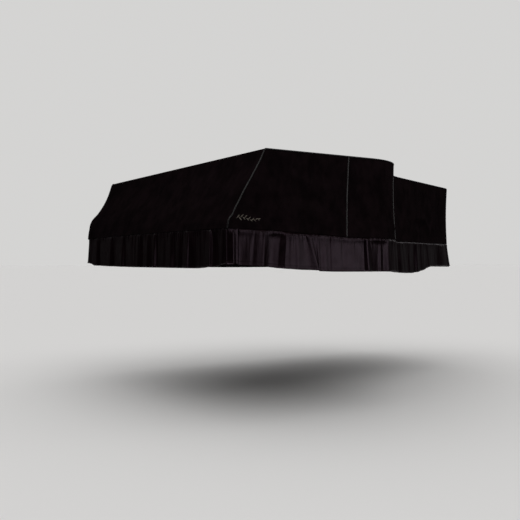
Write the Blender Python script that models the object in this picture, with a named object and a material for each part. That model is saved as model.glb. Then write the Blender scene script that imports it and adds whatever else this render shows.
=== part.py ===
"""Fitted cover for a grand piano, in the shape that the piano gives it.

One velvet piece lies on the closed lid and runs on down the slope in front of the keys.
Velvet side panels hang from the lid's edge, and a flounce of satin strips hangs in loose
folds from their lower edge. A piping cord lies in the seams round the lid and the sides.

Frame: +X towards the treble side, +Y towards the tail, +Z up, in metres. The origin lies
on the underside of the top, in the middle of the cover's width and length.
"""

import math
from collections import namedtuple

import bpy
from mathutils import Vector

# Driving dimensions, taken at the middle of the cloth.
COVER_WIDTH = 1.514
COVER_LENGTH = 1.944
VELVET_THICKNESS = 0.0025
SATIN_THICKNESS = 0.0015
PIPING_RADIUS = 0.003
SEAM_GAP = 0.0005
FLOUNCE_GAP = 0.0007
FLOUNCE_CORNER_RADIUS = 0.010
TAIL_CORNER_RADIUS = 0.045
TREBLE_FORWARD = 0.022  # how far the front's treble end stands forward of its bass end

HALF_WIDTH = COVER_WIDTH / 2
FRONT_Y = -COVER_LENGTH / 2
FRONT_SKEW = math.degrees(math.atan2(TREBLE_FORWARD, COVER_WIDTH))
TOP_Z = VELVET_THICKNESS / 2
PIPING_CLEAR = PIPING_RADIUS + SEAM_GAP

# Plan outline from the treble front corner back, round the tail and along the bass side.
# Bends turn left, and right where their degrees are negative.
Run = namedtuple("Run", "length")
Bend = namedtuple("Bend", "radius degrees")
TREBLE_RUN = Run(0.650 + TREBLE_FORWARD)
TREBLE_BEND = Bend(0.270, 50.0)
HOLLOW_RUN = Run(0.296)
HOLLOW_BEND = Bend(0.468, -26.0)
TAIL_BEND = Bend(0.235, 66.0)
TAIL_CORNER = Bend(TAIL_CORNER_RADIUS, 90.0)
BASS_CORNER = Bend(FLOUNCE_CORNER_RADIUS, 90.0 - FRONT_SKEW)
TREBLE_CORNER = Bend(FLOUNCE_CORNER_RADIUS, 90.0 + FRONT_SKEW)

# Profile of the slope over the keys: depth below the lid, and distance behind the bass
# front corner at its treble edge, where it is cut straight, and at its bass edge.
SlopePoint = namedtuple("SlopePoint", "depth treble bass")
SLOPE = (
    SlopePoint(0.000, 0.141, 0.137),
    SlopePoint(0.004, 0.136, 0.133),
    SlopePoint(0.015, 0.131, 0.129),
    SlopePoint(0.042, 0.118, 0.120),
    SlopePoint(0.080, 0.096, 0.105),
    SlopePoint(0.120, 0.072, 0.084),
    SlopePoint(0.165, 0.044, 0.053),
    SlopePoint(0.200, 0.025, 0.022),
    SlopePoint(0.225, 0.010, 0.011),
    SlopePoint(0.248, -0.001, 0.007),
    SlopePoint(0.263, -0.015, 0.004),
    SlopePoint(0.296, -TREBLE_FORWARD, 0.000),
)
SLOPE_SAG = 0.007  # how far the middle of the slope falls in between its two edges
SLOPE_STEPS = 6  # strips across the slope, besides the places where its foot bends

# Heights along the sides, by the distance walked from where the treble side is level with
# the bass front corner: depth of the flounce's seam and of its hem, how far the cloth stands
# out at the seam, and how much further it stands out at the hem.
Level = namedtuple("Level", "walked seam hem out flare")
SIDE_LEVELS = (
    Level(-0.02, 0.296, 0.426, 0.000, 0.000),
    Level(0.00, 0.296, 0.427, 0.000, 0.000),
    Level(0.12, 0.297, 0.431, 0.001, 0.002),
    Level(0.21, 0.301, 0.440, 0.003, 0.004),
    Level(0.31, 0.307, 0.448, 0.005, 0.005),
    Level(0.43, 0.312, 0.454, 0.006, 0.006),
    Level(0.52, 0.318, 0.455, 0.007, 0.006),
    Level(0.71, 0.320, 0.456, 0.008, 0.006),
    Level(0.86, 0.321, 0.461, 0.008, 0.004),
    Level(1.20, 0.320, 0.465, 0.004, 0.006),
    Level(1.52, 0.315, 0.474, 0.002, 0.008),
    Level(1.66, 0.315, 0.464, 0.002, 0.008),
    Level(1.82, 0.316, 0.441, 0.001, 0.008),
    Level(2.07, 0.314, 0.440, 0.000, 0.012),
    Level(2.16, 0.314, 0.446, 0.000, 0.013),
    Level(2.60, 0.316, 0.446, 0.003, 0.010),
    Level(3.90, 0.320, 0.450, 0.006, 0.006),
    Level(4.45, 0.311, 0.441, 0.003, 0.004),
    Level(4.66, 0.303, 0.429, 0.002, 0.005),
    Level(4.83, 0.296, 0.424, 0.000, 0.008),
)
# The same along the front, by the distance from its middle towards the treble side.
FrontLevel = namedtuple("FrontLevel", "x seam hem flare")
FRONT_LEVELS = (
    FrontLevel(-0.745, 0.296, 0.424, 0.008),
    FrontLevel(-0.620, 0.295, 0.436, 0.005),
    FrontLevel(0.000, 0.293, 0.441, 0.004),
    FrontLevel(0.500, 0.294, 0.441, 0.004),
    FrontLevel(0.660, 0.295, 0.434, 0.002),
    FrontLevel(0.745, 0.296, 0.425, 0.000),
)
PANEL_DRAW_IN = 0.005  # how far the side panels fall in at half their depth
DRAW_IN_START = 0.15
DRAW_IN_FULL = 0.30

# Seams of the side panels, each by its place at the lid and at the flounce.
Seam = namedtuple("Seam", "name top foot")
TREBLE_SEAM = Seam("treble", 0.532, 0.517)
BEND_SEAM = Seam("bend", 0.850, 0.854)
TAIL_SEAM = Seam("tail", 2.120, 2.126)
CORNER_WRAP = 0.026  # how far the front strip of the flounce reaches round each corner

# Folds of the flounce: place of the crest, its width, how far out it stands at the hem
# (or in, if negative), and how far it leans along the cloth on its way down.
Fold = namedtuple("Fold", "at width out lean")
TREBLE_FOLDS = (
    Fold(0.064, 0.044, 0.006, 0.000),
    Fold(0.098, 0.020, -0.005, -0.010),
    Fold(0.126, 0.026, 0.005, -0.004),
    Fold(0.156, 0.030, -0.008, 0.000),
    Fold(0.190, 0.024, 0.007, -0.014),
    Fold(0.214, 0.016, -0.011, -0.012),
    Fold(0.240, 0.026, 0.006, -0.004),
    Fold(0.284, 0.036, -0.003, 0.010),
    Fold(0.316, 0.020, -0.011, 0.044),
    Fold(0.346, 0.016, 0.005, 0.022),
    Fold(0.374, 0.014, -0.009, 0.003),
    Fold(0.396, 0.020, 0.005, 0.000),
    Fold(0.432, 0.024, -0.002, 0.003),
    Fold(0.512, 0.080, 0.004, 0.000),
    Fold(0.592, 0.028, 0.005, 0.002),
    Fold(0.616, 0.012, -0.009, 0.002),
    Fold(0.632, 0.012, 0.007, 0.012),
    Fold(0.660, 0.022, -0.011, 0.004),
    Fold(0.684, 0.012, 0.006, 0.002),
    Fold(0.700, 0.012, -0.008, 0.001),
    Fold(0.728, 0.030, 0.007, 0.000),
    Fold(0.758, 0.014, -0.008, 0.001),
    Fold(0.784, 0.024, 0.008, 0.000),
    Fold(0.822, 0.026, -0.006, -0.003),
)
TAIL_SIDE_FOLDS = (
    Fold(1.400, 0.036, 0.008, 0.000),
    Fold(1.446, 0.032, -0.008, 0.005),
    Fold(1.496, 0.044, 0.009, 0.000),
    Fold(1.546, 0.032, -0.007, -0.004),
    Fold(1.592, 0.036, 0.008, 0.004),
    Fold(1.630, 0.020, -0.012, 0.000),
    Fold(1.652, 0.014, 0.009, 0.001),
    Fold(1.700, 0.050, 0.003, 0.000),
    Fold(1.762, 0.036, -0.006, 0.004),
    Fold(1.826, 0.052, 0.006, -0.003),
    Fold(1.892, 0.038, -0.006, 0.002),
    Fold(1.956, 0.050, 0.007, 0.004),
    Fold(2.016, 0.034, -0.007, -0.003),
    Fold(2.070, 0.040, 0.011, 0.010),
    Fold(2.102, 0.014, -0.004, 0.006),
)
FRONT_FOLDS = (
    Fold(-0.700, 0.036, 0.005, 0.000),
    Fold(-0.647, 0.030, 0.009, 0.000),
    Fold(-0.604, 0.026, -0.012, 0.003),
    Fold(-0.530, 0.060, 0.005, 0.000),
    Fold(-0.452, 0.026, 0.009, -0.003),
    Fold(-0.422, 0.022, -0.012, 0.002),
    Fold(-0.340, 0.060, 0.005, 0.000),
    Fold(-0.256, 0.028, -0.011, -0.004),
    Fold(-0.180, 0.060, 0.006, 0.002),
    Fold(-0.106, 0.022, -0.004, 0.000),
    Fold(-0.077, 0.016, -0.010, 0.000),
    Fold(-0.052, 0.014, 0.005, 0.000),
    Fold(-0.028, 0.018, -0.009, 0.002),
    Fold(0.030, 0.050, 0.005, 0.000),
    Fold(0.080, 0.016, 0.008, 0.000),
    Fold(0.104, 0.018, -0.011, 0.001),
    Fold(0.166, 0.050, 0.005, 0.000),
    Fold(0.226, 0.020, -0.010, 0.000),
    Fold(0.250, 0.014, 0.005, 0.000),
    Fold(0.275, 0.020, -0.011, 0.000),
    Fold(0.340, 0.060, 0.005, 0.003),
    Fold(0.399, 0.018, -0.006, 0.002),
    Fold(0.421, 0.012, 0.009, 0.000),
    Fold(0.444, 0.020, -0.008, -0.002),
    Fold(0.510, 0.050, -0.003, 0.000),
    Fold(0.574, 0.020, -0.008, 0.000),
    Fold(0.596, 0.012, 0.010, 0.001),
    Fold(0.620, 0.020, -0.008, 0.002),
    Fold(0.676, 0.050, 0.004, 0.000),
)
# And past the treble front corner, by the distance from its end.
CORNER_FOLDS = (
    Fold(0.006, 0.010, -0.006, 0.008),
    Fold(0.020, 0.010, 0.003, 0.004),
)
PLAIN_FOLD_PITCH = 0.084  # from crest to crest where the flounce hangs in even folds
PLAIN_FOLD_OUT = 0.008
FOLD_SHOULDER = 0.78  # share of a fold's depth left a quarter of its width from the crest
GATHERED_SHARE = 0.15  # share of a fold's depth left at the seam
LEVEL_END = 0.008  # how much of each strip is unfolded at its ends

PANEL_ROWS = (0.0, 1 / 3, 2 / 3, 1.0)
SLOPE_ROWS = tuple(point.depth / SLOPE[-1].depth for point in SLOPE)
FLOUNCE_ROWS = (0.0, 0.5, 1.0)
RUN_STEP = 0.24
BEND_STEP = math.radians(8.0)


def extent(section):
    """Length of a run or a bend."""
    if isinstance(section, Run):
        return section.length
    return section.radius * abs(math.radians(section.degrees))


def advance(x, y, heading, section, distance):
    """Place and heading at a distance along a run or a bend that starts there."""
    if isinstance(section, Run):
        return x + math.cos(heading) * distance, y + math.sin(heading) * distance, heading
    radius = math.copysign(section.radius, section.degrees)
    turned = heading + distance / radius
    x += radius * (math.sin(turned) - math.sin(heading))
    y -= radius * (math.cos(turned) - math.cos(heading))
    return x, y, turned


Span = namedtuple("Span", "walked x y heading section")


class Path:
    """A level path of runs and bends, read by the distance walked along it."""

    def __init__(self, x, y, heading, sections, walked=0.0):
        self.spans = []
        for section in sections:
            self.spans.append(Span(walked, x, y, heading, section))
            x, y, heading = advance(x, y, heading, section, extent(section))
            walked += extent(section)
        self.end = (x, y, heading)
        self.length = walked

    def place(self, walked):
        """Place and heading at a distance."""
        passed = [span for span in self.spans if span.walked <= walked]
        span = passed[-1] if passed else self.spans[0]
        return advance(span.x, span.y, span.heading, span.section, walked - span.walked)

    def point(self, walked, out, z):
        """A point that far outside the path, which has its outside on its right."""
        x, y, heading = self.place(walked)
        return Vector((x + math.sin(heading) * out, y - math.cos(heading) * out, z))

    def stations(self, start, end):
        """Distances from start to end at which a sheet along the path needs a column."""
        found = [row.walked for row in SIDE_LEVELS]
        for span in self.spans:
            length = extent(span.section)
            bent = isinstance(span.section, Bend)
            step = BEND_STEP * span.section.radius if bent else RUN_STEP
            count = max(1, math.ceil(length / step))
            found += [span.walked + length * index / count for index in range(count)]
        inner = sorted(place for place in found if start + SEAM_GAP < place < end - SEAM_GAP)
        return [start, *inner, end]


# Place of the treble front corner, and the heading of the treble side there.
TREBLE_FRONT = (HALF_WIDTH, FRONT_Y - TREBLE_FORWARD, math.pi / 2)


def side_sections():
    """Runs and bends from the treble front corner to the bass front corner."""
    known = [TREBLE_RUN, TREBLE_BEND, HOLLOW_RUN, HOLLOW_BEND]
    _, y, heading = Path(*TREBLE_FRONT, known).end
    bend_rise = TAIL_BEND.radius * (1.0 + math.cos(heading))
    tail_run = Run((-FRONT_Y - bend_rise - y) / math.sin(heading))
    known += [tail_run, TAIL_BEND]
    x, y, _ = Path(*TREBLE_FRONT, known).end
    tail_end = Run(x + HALF_WIDTH - TAIL_CORNER_RADIUS)
    bass_run = Run(y - TAIL_CORNER_RADIUS - FRONT_Y)
    return [*known, tail_end, TAIL_CORNER, bass_run]


def corner_reach(bend):
    """Distance from where the sides of a rounded corner would meet to its ends."""
    return bend.radius * math.tan(math.radians(bend.degrees) / 2)


def flounce_sections():
    """Runs and bends once round the flounce, from the end of its treble front corner."""
    first, *middle, last = side_sections()
    first = Run(first.length - corner_reach(TREBLE_CORNER))
    last = Run(last.length - corner_reach(BASS_CORNER))
    reach = corner_reach(TREBLE_CORNER) + corner_reach(BASS_CORNER)
    front = Run(math.hypot(COVER_WIDTH, TREBLE_FORWARD) - reach)
    return [first, *middle, last, BASS_CORNER, front, TREBLE_CORNER, first]


SIDE = Path(*TREBLE_FRONT, side_sections(), walked=-TREBLE_FORWARD)
FLOUNCE_START = corner_reach(TREBLE_CORNER) - TREBLE_FORWARD
FLOUNCE = Path(
    HALF_WIDTH,
    FRONT_Y + FLOUNCE_START,
    math.pi / 2,
    flounce_sections(),
    walked=FLOUNCE_START,
)
CORNER_SPAN, BASS_SPAN = SIDE.spans[-2:]
FRONT_SPAN, END_CORNER_SPAN = FLOUNCE.spans[-3:-1]
BASS_SEAM = Seam("bass", BASS_SPAN.walked + CORNER_WRAP, BASS_SPAN.walked + CORNER_WRAP)
FRONT_MIDDLE = FRONT_SPAN.walked + FRONT_SPAN.section.length / 2
FLOUNCE_END = END_CORNER_SPAN.walked + extent(TREBLE_CORNER)
LEVELS = SIDE_LEVELS + tuple(
    Level(FRONT_MIDDLE + row.x, row.seam, row.hem, 0.0, row.flare) for row in FRONT_LEVELS
)


def read(table, place, column):
    """A column of a table between the rows next to a place, which their first field gives."""
    for low, high in zip(table, table[1:], strict=False):
        if place <= high[0]:
            break
    share = min(max((place - low[0]) / (high[0] - low[0]), 0.0), 1.0)
    return getattr(low, column) * (1.0 - share) + getattr(high, column) * share


def mix(start, end, share):
    """The number that far on the way from start to end."""
    return start + (end - start) * share


def side_point(walked, depth):
    """Middle of the side panels at a depth below the top."""
    share = depth / read(LEVELS, walked, "seam")
    from_front = min(walked, SIDE.length - walked)
    grown = (from_front - DRAW_IN_START) / (DRAW_IN_FULL - DRAW_IN_START)
    draw_in = PANEL_DRAW_IN * min(max(grown, 0.0), 1.0) * math.sin(math.pi * min(share, 1.0))
    return SIDE.point(walked, read(LEVELS, walked, "out") * share - draw_in, TOP_Z - depth)


EdgePoint = namedtuple("EdgePoint", "depth back")


def beside_slope(edge):
    """The slope's points at one edge, moved back and down to the edge of the side panel."""
    found = [getattr(point, edge) for point in SLOPE]
    backs = [found[0] + 1.0, *found, found[-1]]
    depths = [0.0, *(point.depth for point in SLOPE), SLOPE[-1].depth + 1.0]
    normals = [
        Vector((depths[i + 1] - depths[i], backs[i] - backs[i + 1])).normalized()
        for i in range(len(SLOPE) + 1)
    ]
    points = []
    for depth, back, above, below in zip(depths[1:], found, normals, normals[1:], strict=False):
        mitre = (above + below) * PIPING_CLEAR / (1.0 + above.dot(below))
        points.append(EdgePoint(depth + mitre.y, back + mitre.x))
    return points


def cloth_material(name, color, roughness):
    """Material of one kind of cloth."""
    material = bpy.data.materials.new(name)
    material.use_nodes = True
    shader = material.node_tree.nodes["Principled BSDF"]
    shader.inputs["Base Color"].default_value = (*color, 1.0)
    shader.inputs["Roughness"].default_value = roughness
    return material


def add_object(name, data, material):
    """A named object of its own material."""
    own = material.copy()
    own.name = f"{name}_{material.name}"
    data.materials.append(own)
    node = bpy.data.objects.new(name, data)
    bpy.context.scene.collection.objects.link(node)
    return node


def add_sheet(name, points, faces, thickness, material):
    """A sheet of cloth whose middle runs through the points."""
    mesh = bpy.data.meshes.new(name)
    mesh.from_pydata(points, [], faces)
    mesh.shade_smooth()
    sheet = add_object(name, mesh, material)
    solidify = sheet.modifiers.new("Thickness", "SOLIDIFY")
    solidify.thickness = thickness
    solidify.offset = 0.0
    solidify.use_even_offset = True


def grid_faces(columns, rows):
    """Faces of a grid whose points are listed column by column, from top to bottom."""
    return [
        (c * rows + r, c * rows + r + 1, (c + 1) * rows + r + 1, (c + 1) * rows + r)
        for c in range(columns - 1)
        for r in range(rows - 1)
    ]


def add_panel(name, leading, trailing, rows, material):
    """A side panel between two edges, each a function from a share of the depth."""
    columns = SIDE.stations(leading(1.0), trailing(1.0))
    width = trailing(1.0) - leading(1.0)
    points = []
    for station in columns:
        across = (station - leading(1.0)) / width
        for row in rows:
            walked = mix(leading(row), trailing(row), across)
            foot = read(LEVELS, walked, "seam") - SEAM_GAP
            points.append(side_point(walked, mix(PIPING_CLEAR, foot, row)))
    faces = grid_faces(len(columns), len(rows))
    add_sheet(name, points, faces, VELVET_THICKNESS, material)


def beside(seam, side):
    """Edge of a panel on one side of a seam: -1 before its piping, 1 after it."""
    return lambda row: mix(seam.top, seam.foot, row) + side * PIPING_CLEAR


TREBLE_EDGE = beside_slope("treble")
BASS_EDGE = beside_slope("bass")


def edge_rows(edge):
    """Shares of the depth at which the front edge of a side bends."""
    return [*((p.depth - PIPING_CLEAR) / (SLOPE[-1].depth - PIPING_CLEAR) for p in edge[:-1]), 1.0]


def treble_slope_edge(row):
    """Front edge of the treble side."""
    return read(TREBLE_EDGE, mix(PIPING_CLEAR, SLOPE[-1].depth, row), "back")


def bass_slope_edge(row):
    """Front edge of the bass side."""
    return SIDE.length - read(BASS_EDGE, mix(PIPING_CLEAR, SLOPE[-1].depth, row), "back")


def add_side_panels(material):
    """The five velvet panels of the sides."""
    seams = (TREBLE_SEAM, BEND_SEAM, TAIL_SEAM, BASS_SEAM)
    leading = [treble_slope_edge, *(beside(seam, 1) for seam in seams)]
    trailing = [*(beside(seam, -1) for seam in seams), bass_slope_edge]
    names = ("treble", "bend", "hollow", "tail", "bass")
    front_rows = {"treble": edge_rows(TREBLE_EDGE), "bass": edge_rows(BASS_EDGE)}
    for name, start, end in zip(names, leading, trailing, strict=True):
        rows = front_rows.get(name, PANEL_ROWS)
        add_panel(f"side_{name}", start, end, rows, material)


def add_top(material):
    """The piece that lies on the lid and runs down the slope to the flounce."""
    reach = HALF_WIDTH - PIPING_CLEAR
    columns = [mix(-reach, reach, step / SLOPE_STEPS) for step in range(SLOPE_STEPS + 1)]
    columns = sorted({*columns, *(row.x for row in FRONT_LEVELS)})
    points = []
    for x in columns:
        seam = read(LEVELS, FRONT_MIDDLE + x, "seam") - SEAM_GAP
        treble_share = (x + HALF_WIDTH) / COVER_WIDTH
        for point, row in zip(SLOPE, SLOPE_ROWS, strict=True):
            sag = SLOPE_SAG * (1.0 - (x / reach) ** 2) * math.sin(math.pi * row)
            back = mix(point.bass, point.treble, treble_share)
            points.append((x, FRONT_Y + back + sag, TOP_Z - row * seam))
    rows = len(SLOPE_ROWS)
    faces = grid_faces(len(columns), rows)
    rim = SIDE.stations(SLOPE[0].treble, SIDE.length - SLOPE[0].bass)[1:-1]
    lid = [column * rows for column in range(len(columns))]
    lid += range(len(points), len(points) + len(rim))
    points += [SIDE.point(walked, -PIPING_CLEAR, TOP_Z) for walked in rim]
    add_sheet("top", points, [*faces, lid], VELVET_THICKNESS, material)


def add_cord(name, route, material):
    """A round cord along a route."""
    curve = bpy.data.curves.new(name, "CURVE")
    curve.dimensions = "3D"
    curve.bevel_depth = PIPING_RADIUS
    curve.bevel_resolution = 2
    curve.use_fill_caps = True
    spline = curve.splines.new("POLY")
    spline.points.add(len(route) - 1)
    for spot, place in zip(spline.points, route, strict=True):
        spot.co = (*place, 1.0)
    add_object(name, curve, material)


def add_piping(material):
    """The cord up one slope, round the lid and down the other, and one in each side seam."""
    foot = TOP_Z - SLOPE[-1].depth + SEAM_GAP
    treble_slope = [
        (HALF_WIDTH, FRONT_Y + p.treble, TOP_Z - p.depth) for p in reversed(SLOPE[1:-1])
    ]
    treble_slope.insert(0, (HALF_WIDTH, FRONT_Y + SLOPE[-1].treble, foot))
    bass_slope = [(-HALF_WIDTH, FRONT_Y + p.bass, TOP_Z - p.depth) for p in SLOPE[1:-1]]
    bass_slope.append((-HALF_WIDTH, FRONT_Y + SLOPE[-1].bass, foot))
    stations = SIDE.stations(SLOPE[0].treble, SIDE.length - SLOPE[0].bass)
    rim = [SIDE.point(walked, 0.0, TOP_Z) for walked in stations]
    add_cord("piping_lid", [*treble_slope, *rim, *bass_slope], material)
    for seam in (TREBLE_SEAM, BEND_SEAM, TAIL_SEAM, BASS_SEAM):
        foot = read(LEVELS, seam.foot, "seam") - SEAM_GAP
        route = [
            side_point(mix(seam.top, seam.foot, row), mix(PIPING_CLEAR, foot, row))
            for row in PANEL_ROWS
        ]
        add_cord(f"piping_{seam.name}", route, material)


def plain_folds(start, end):
    """Even folds between two places, each a little different from the next."""
    count = 2 * round((end - start) / PLAIN_FOLD_PITCH)
    pitch = (end - start) / count
    folds = []
    for index in range(count):
        at = start + pitch * (index + 0.5 + 0.16 * math.sin(2.4 * index))
        out = PLAIN_FOLD_OUT * (0.8 + 0.2 * math.sin(1.7 * index))
        lean = 0.005 * math.sin(3.1 * index)
        folds.append(Fold(at, 0.7 * pitch, out if index % 2 else -out, lean))
    return folds


def flounce_columns(start, end, folds):
    """Columns of a strip: place, how far out the cloth stands at the hem, and lean."""
    level = (start, start + LEVEL_END, end - LEVEL_END, end)
    columns = [(walked, 0.0, 0.0) for walked in level]
    for fold in folds:
        for side, share in ((-0.25, FOLD_SHOULDER), (0.0, 1.0), (0.25, FOLD_SHOULDER)):
            columns.append((fold.at + side * fold.width, fold.out * share, fold.lean))
    for span in FLOUNCE.spans:
        if span.section in (TAIL_CORNER, BASS_CORNER, TREBLE_CORNER):
            for share in (0.0, 1 / 3, 2 / 3, 1.0):
                corner = span.walked + share * extent(span.section)
                if start < corner < end:
                    columns.append((corner, 0.0, 0.0))
    columns.sort()
    for row in LEVELS:
        after = sum(column[0] <= row.walked for column in columns)
        if 0 < after < len(columns):
            low, high = columns[after - 1 : after + 1]
            share = (row.walked - low[0]) / (high[0] - low[0])
            columns.insert(after, tuple(mix(a, b, share) for a, b in zip(low, high, strict=True)))
    return columns


def add_flounce_strip(name, start, end, folds, material):
    """One strip of the flounce, from the seam down to the hem."""
    columns = flounce_columns(start + SEAM_GAP / 2, end - SEAM_GAP / 2, folds)
    points = []
    for at, out, lean in columns:
        seam = read(LEVELS, at, "seam") + FLOUNCE_GAP
        hem = read(LEVELS, at, "hem")
        for row in FLOUNCE_ROWS:
            stand = read(LEVELS, at, "out") + read(LEVELS, at, "flare") * row
            stand += out * mix(GATHERED_SHARE, 1.0, row)
            points.append(FLOUNCE.point(at + lean * row, stand, TOP_Z - mix(seam, hem, row)))
    faces = grid_faces(len(columns), len(FLOUNCE_ROWS))
    add_sheet(name, points, faces, SATIN_THICKNESS, material)


def add_flounce(material):
    """The five strips of the flounce."""
    bend, tail, bass = BEND_SEAM.foot, TAIL_SEAM.foot, BASS_SEAM.foot
    bass_end = SIDE.length - CORNER_WRAP
    front_end = FLOUNCE_END + CORNER_WRAP - FLOUNCE_START
    hollow_folds = [*plain_folds(bend + LEVEL_END, TAIL_SIDE_FOLDS[0].at - 0.02), *TAIL_SIDE_FOLDS]
    front_folds = [fold._replace(at=FRONT_MIDDLE + fold.at) for fold in FRONT_FOLDS]
    front_folds += [fold._replace(at=FLOUNCE_END + fold.at) for fold in CORNER_FOLDS]
    add_flounce_strip("flounce_treble", CORNER_WRAP, bend, TREBLE_FOLDS, material)
    add_flounce_strip("flounce_hollow", bend, tail, hollow_folds, material)
    tail_folds = plain_folds(tail + LEVEL_END, CORNER_SPAN.walked)
    bass_folds = plain_folds(bass + LEVEL_END, bass_end - LEVEL_END)
    add_flounce_strip("flounce_tail", tail, bass, tail_folds, material)
    add_flounce_strip("flounce_bass", bass, bass_end, bass_folds, material)
    add_flounce_strip("flounce_front", bass_end, front_end, front_folds, material)


for old in list(bpy.data.objects):
    bpy.data.objects.remove(old)

velvet = cloth_material("velvet", (0.011, 0.010, 0.011), 0.95)
satin = cloth_material("satin", (0.030, 0.028, 0.034), 0.42)
corded_satin = cloth_material("piping", (0.050, 0.048, 0.054), 0.50)
add_top(velvet)
add_side_panels(velvet)
add_piping(corded_satin)
add_flounce(satin)
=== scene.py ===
"""Looks of a fitted cover for a grand piano: black velvet on the lid and the sides, corded
seams, and a flounce of black satin below them.

Metres, +X towards the treble side, +Y towards the tail, +Z up. The origin lies on the
underside of the lid's piece, in the middle of the cover's width and length.
"""

import math
from collections import namedtuple

import bpy
import numpy as np
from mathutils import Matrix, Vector, noise


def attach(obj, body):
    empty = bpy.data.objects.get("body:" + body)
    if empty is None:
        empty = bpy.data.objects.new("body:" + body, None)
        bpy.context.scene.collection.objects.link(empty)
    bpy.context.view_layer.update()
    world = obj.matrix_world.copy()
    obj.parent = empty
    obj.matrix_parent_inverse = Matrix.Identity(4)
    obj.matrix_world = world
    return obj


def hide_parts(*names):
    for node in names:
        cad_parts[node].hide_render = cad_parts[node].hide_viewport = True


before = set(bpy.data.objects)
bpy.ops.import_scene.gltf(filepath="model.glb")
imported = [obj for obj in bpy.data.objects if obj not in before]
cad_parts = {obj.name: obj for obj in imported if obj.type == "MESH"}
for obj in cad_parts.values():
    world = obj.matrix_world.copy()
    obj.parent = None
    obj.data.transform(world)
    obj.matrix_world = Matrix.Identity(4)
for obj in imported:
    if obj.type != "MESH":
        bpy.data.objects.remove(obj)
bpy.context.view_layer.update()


# --- Camera -------------------------------------------------------------------------------
# It stands off the treble front corner, a little above the hem, and looks level.
CAMERA_PLACE = (3.0536, -2.3085, -0.4126)
CAMERA_AZIMUTH = math.radians(57.67)
LENS_MM = 51.42
SENSOR_MM = 36.0
HORIZON_SHIFT = 0.0023
SIGHT_REACH = 200.0

camera_data = bpy.data.cameras.new("camera")
camera_data.lens = LENS_MM
camera_data.sensor_width = SENSOR_MM
camera_data.shift_y = HORIZON_SHIFT
camera_data.clip_end = SIGHT_REACH
camera = bpy.data.objects.new("camera", camera_data)
camera.location = CAMERA_PLACE
camera.rotation_euler = (math.pi / 2, 0.0, CAMERA_AZIMUTH)
bpy.context.scene.collection.objects.link(camera)
bpy.context.scene.camera = camera


# --- Floor, backdrop and lamps ------------------------------------------------------------
# A plain pale floor at the height where the piano's castors would stand, and a backdrop of
# like tone. Two suns light the floor alone, and the soft boxes the cloth alone: low ones to
# be mirrored in the satin, and high ones that light the velvet evenly.
LID_HEIGHT = 1.0119
FLOOR_REACH = 90.0
FLOOR_COLOR = (0.78, 0.775, 0.765)
FLOOR_BOUNCE = (0.009, 0.0065, 0.007)  # what the floor gives back to the cloth
BACKDROP_TONE = (0.66, 0.656, 0.648)
ROOM_LIGHT = (0.008, 0.0045, 0.0055)
SUN_STRENGTH = 1.7
SUN_FILL = 0.9  # strength of the second sun, which casts no shadow
SUN_WIDTH = math.radians(110.0)

SoftBox = namedtuple("SoftBox", "name place target width height radiance")
SOFT_BOXES = (
    SoftBox("treble", (4.0, 1.9, 0.1), (0.6, -0.5, -0.3), 2.8, 2.6, 0.86),
    SoftBox("treble_high", (2.9, 1.6, 2.5), (0.7, -0.3, -0.3), 1.6, 1.2, 1.4),
    SoftBox("bass", (-4.2, 2.6, 0.5), (-0.5, 0.0, -0.3), 2.8, 2.6, 1.1),
    SoftBox("tail", (-0.4, 5.2, 0.0), (0.2, 0.7, -0.4), 3.2, 1.8, 0.051),
    SoftBox("tail_high", (-0.2, 4.6, 1.6), (0.2, 0.7, -0.3), 1.8, 1.2, 0.7),
    SoftBox("corner", (2.8, -3.1, 3.3), (0.4, -0.8, -0.2), 4.8, 3.4, 1.4),
    SoftBox("front", (0.2, -4.9, 0.3), (0.1, -0.9, -0.2), 2.0, 1.8, 0.55),
    SoftBox("front_bass", (-4.6, -2.2, 0.1), (-0.7, -1.0, -0.4), 0.9, 1.4, 0.049),
    SoftBox("front_bass_high", (-4.6, -2.2, 1.6), (-0.7, -1.0, -0.4), 1.0, 1.0, 0.55),
    SoftBox("overhead", (0.0, 0.4, 4.2), (0.0, 0.2, 0.0), 4.0, 4.0, 0.12),
)

bpy.context.scene.view_settings.view_transform = "Standard"


def add_soft_box(box):
    """A rectangular lamp that shines from a place towards a target, on all but the floor."""
    data = bpy.data.lights.new(f"soft_box_{box.name}", "AREA")
    data.shape = "RECTANGLE"
    data.size = box.width
    data.size_y = box.height
    data.energy = box.radiance * math.pi * box.width * box.height
    lamp = bpy.data.objects.new(data.name, data)
    lamp.location = box.place
    towards = Vector(box.target) - Vector(box.place)
    lamp.rotation_euler = towards.to_track_quat("-Z", "Y").to_euler()
    lamp.visible_camera = False
    lamp.light_linking.receiver_collection = all_but_floor
    bpy.context.scene.collection.objects.link(lamp)


def add_node(tree, kind, inputs, **settings):
    """A node with its settings, its inputs linked to sockets or given values."""
    node = tree.nodes.new(kind)
    for name, value in settings.items():
        setattr(node, name, value)
    for name, value in inputs.items():
        if isinstance(value, bpy.types.NodeSocket):
            tree.links.new(value, node.inputs[name])
        else:
            node.inputs[name].default_value = value
    return node


def for_camera(tree, otherwise, seen):
    """A shader that differs where the camera sees it itself."""
    rays = add_node(tree, "ShaderNodeLightPath", {})
    links = {0: rays.outputs["Is Camera Ray"], 1: otherwise, 2: seen}
    return add_node(tree, "ShaderNodeMixShader", links).outputs[0]


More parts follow.
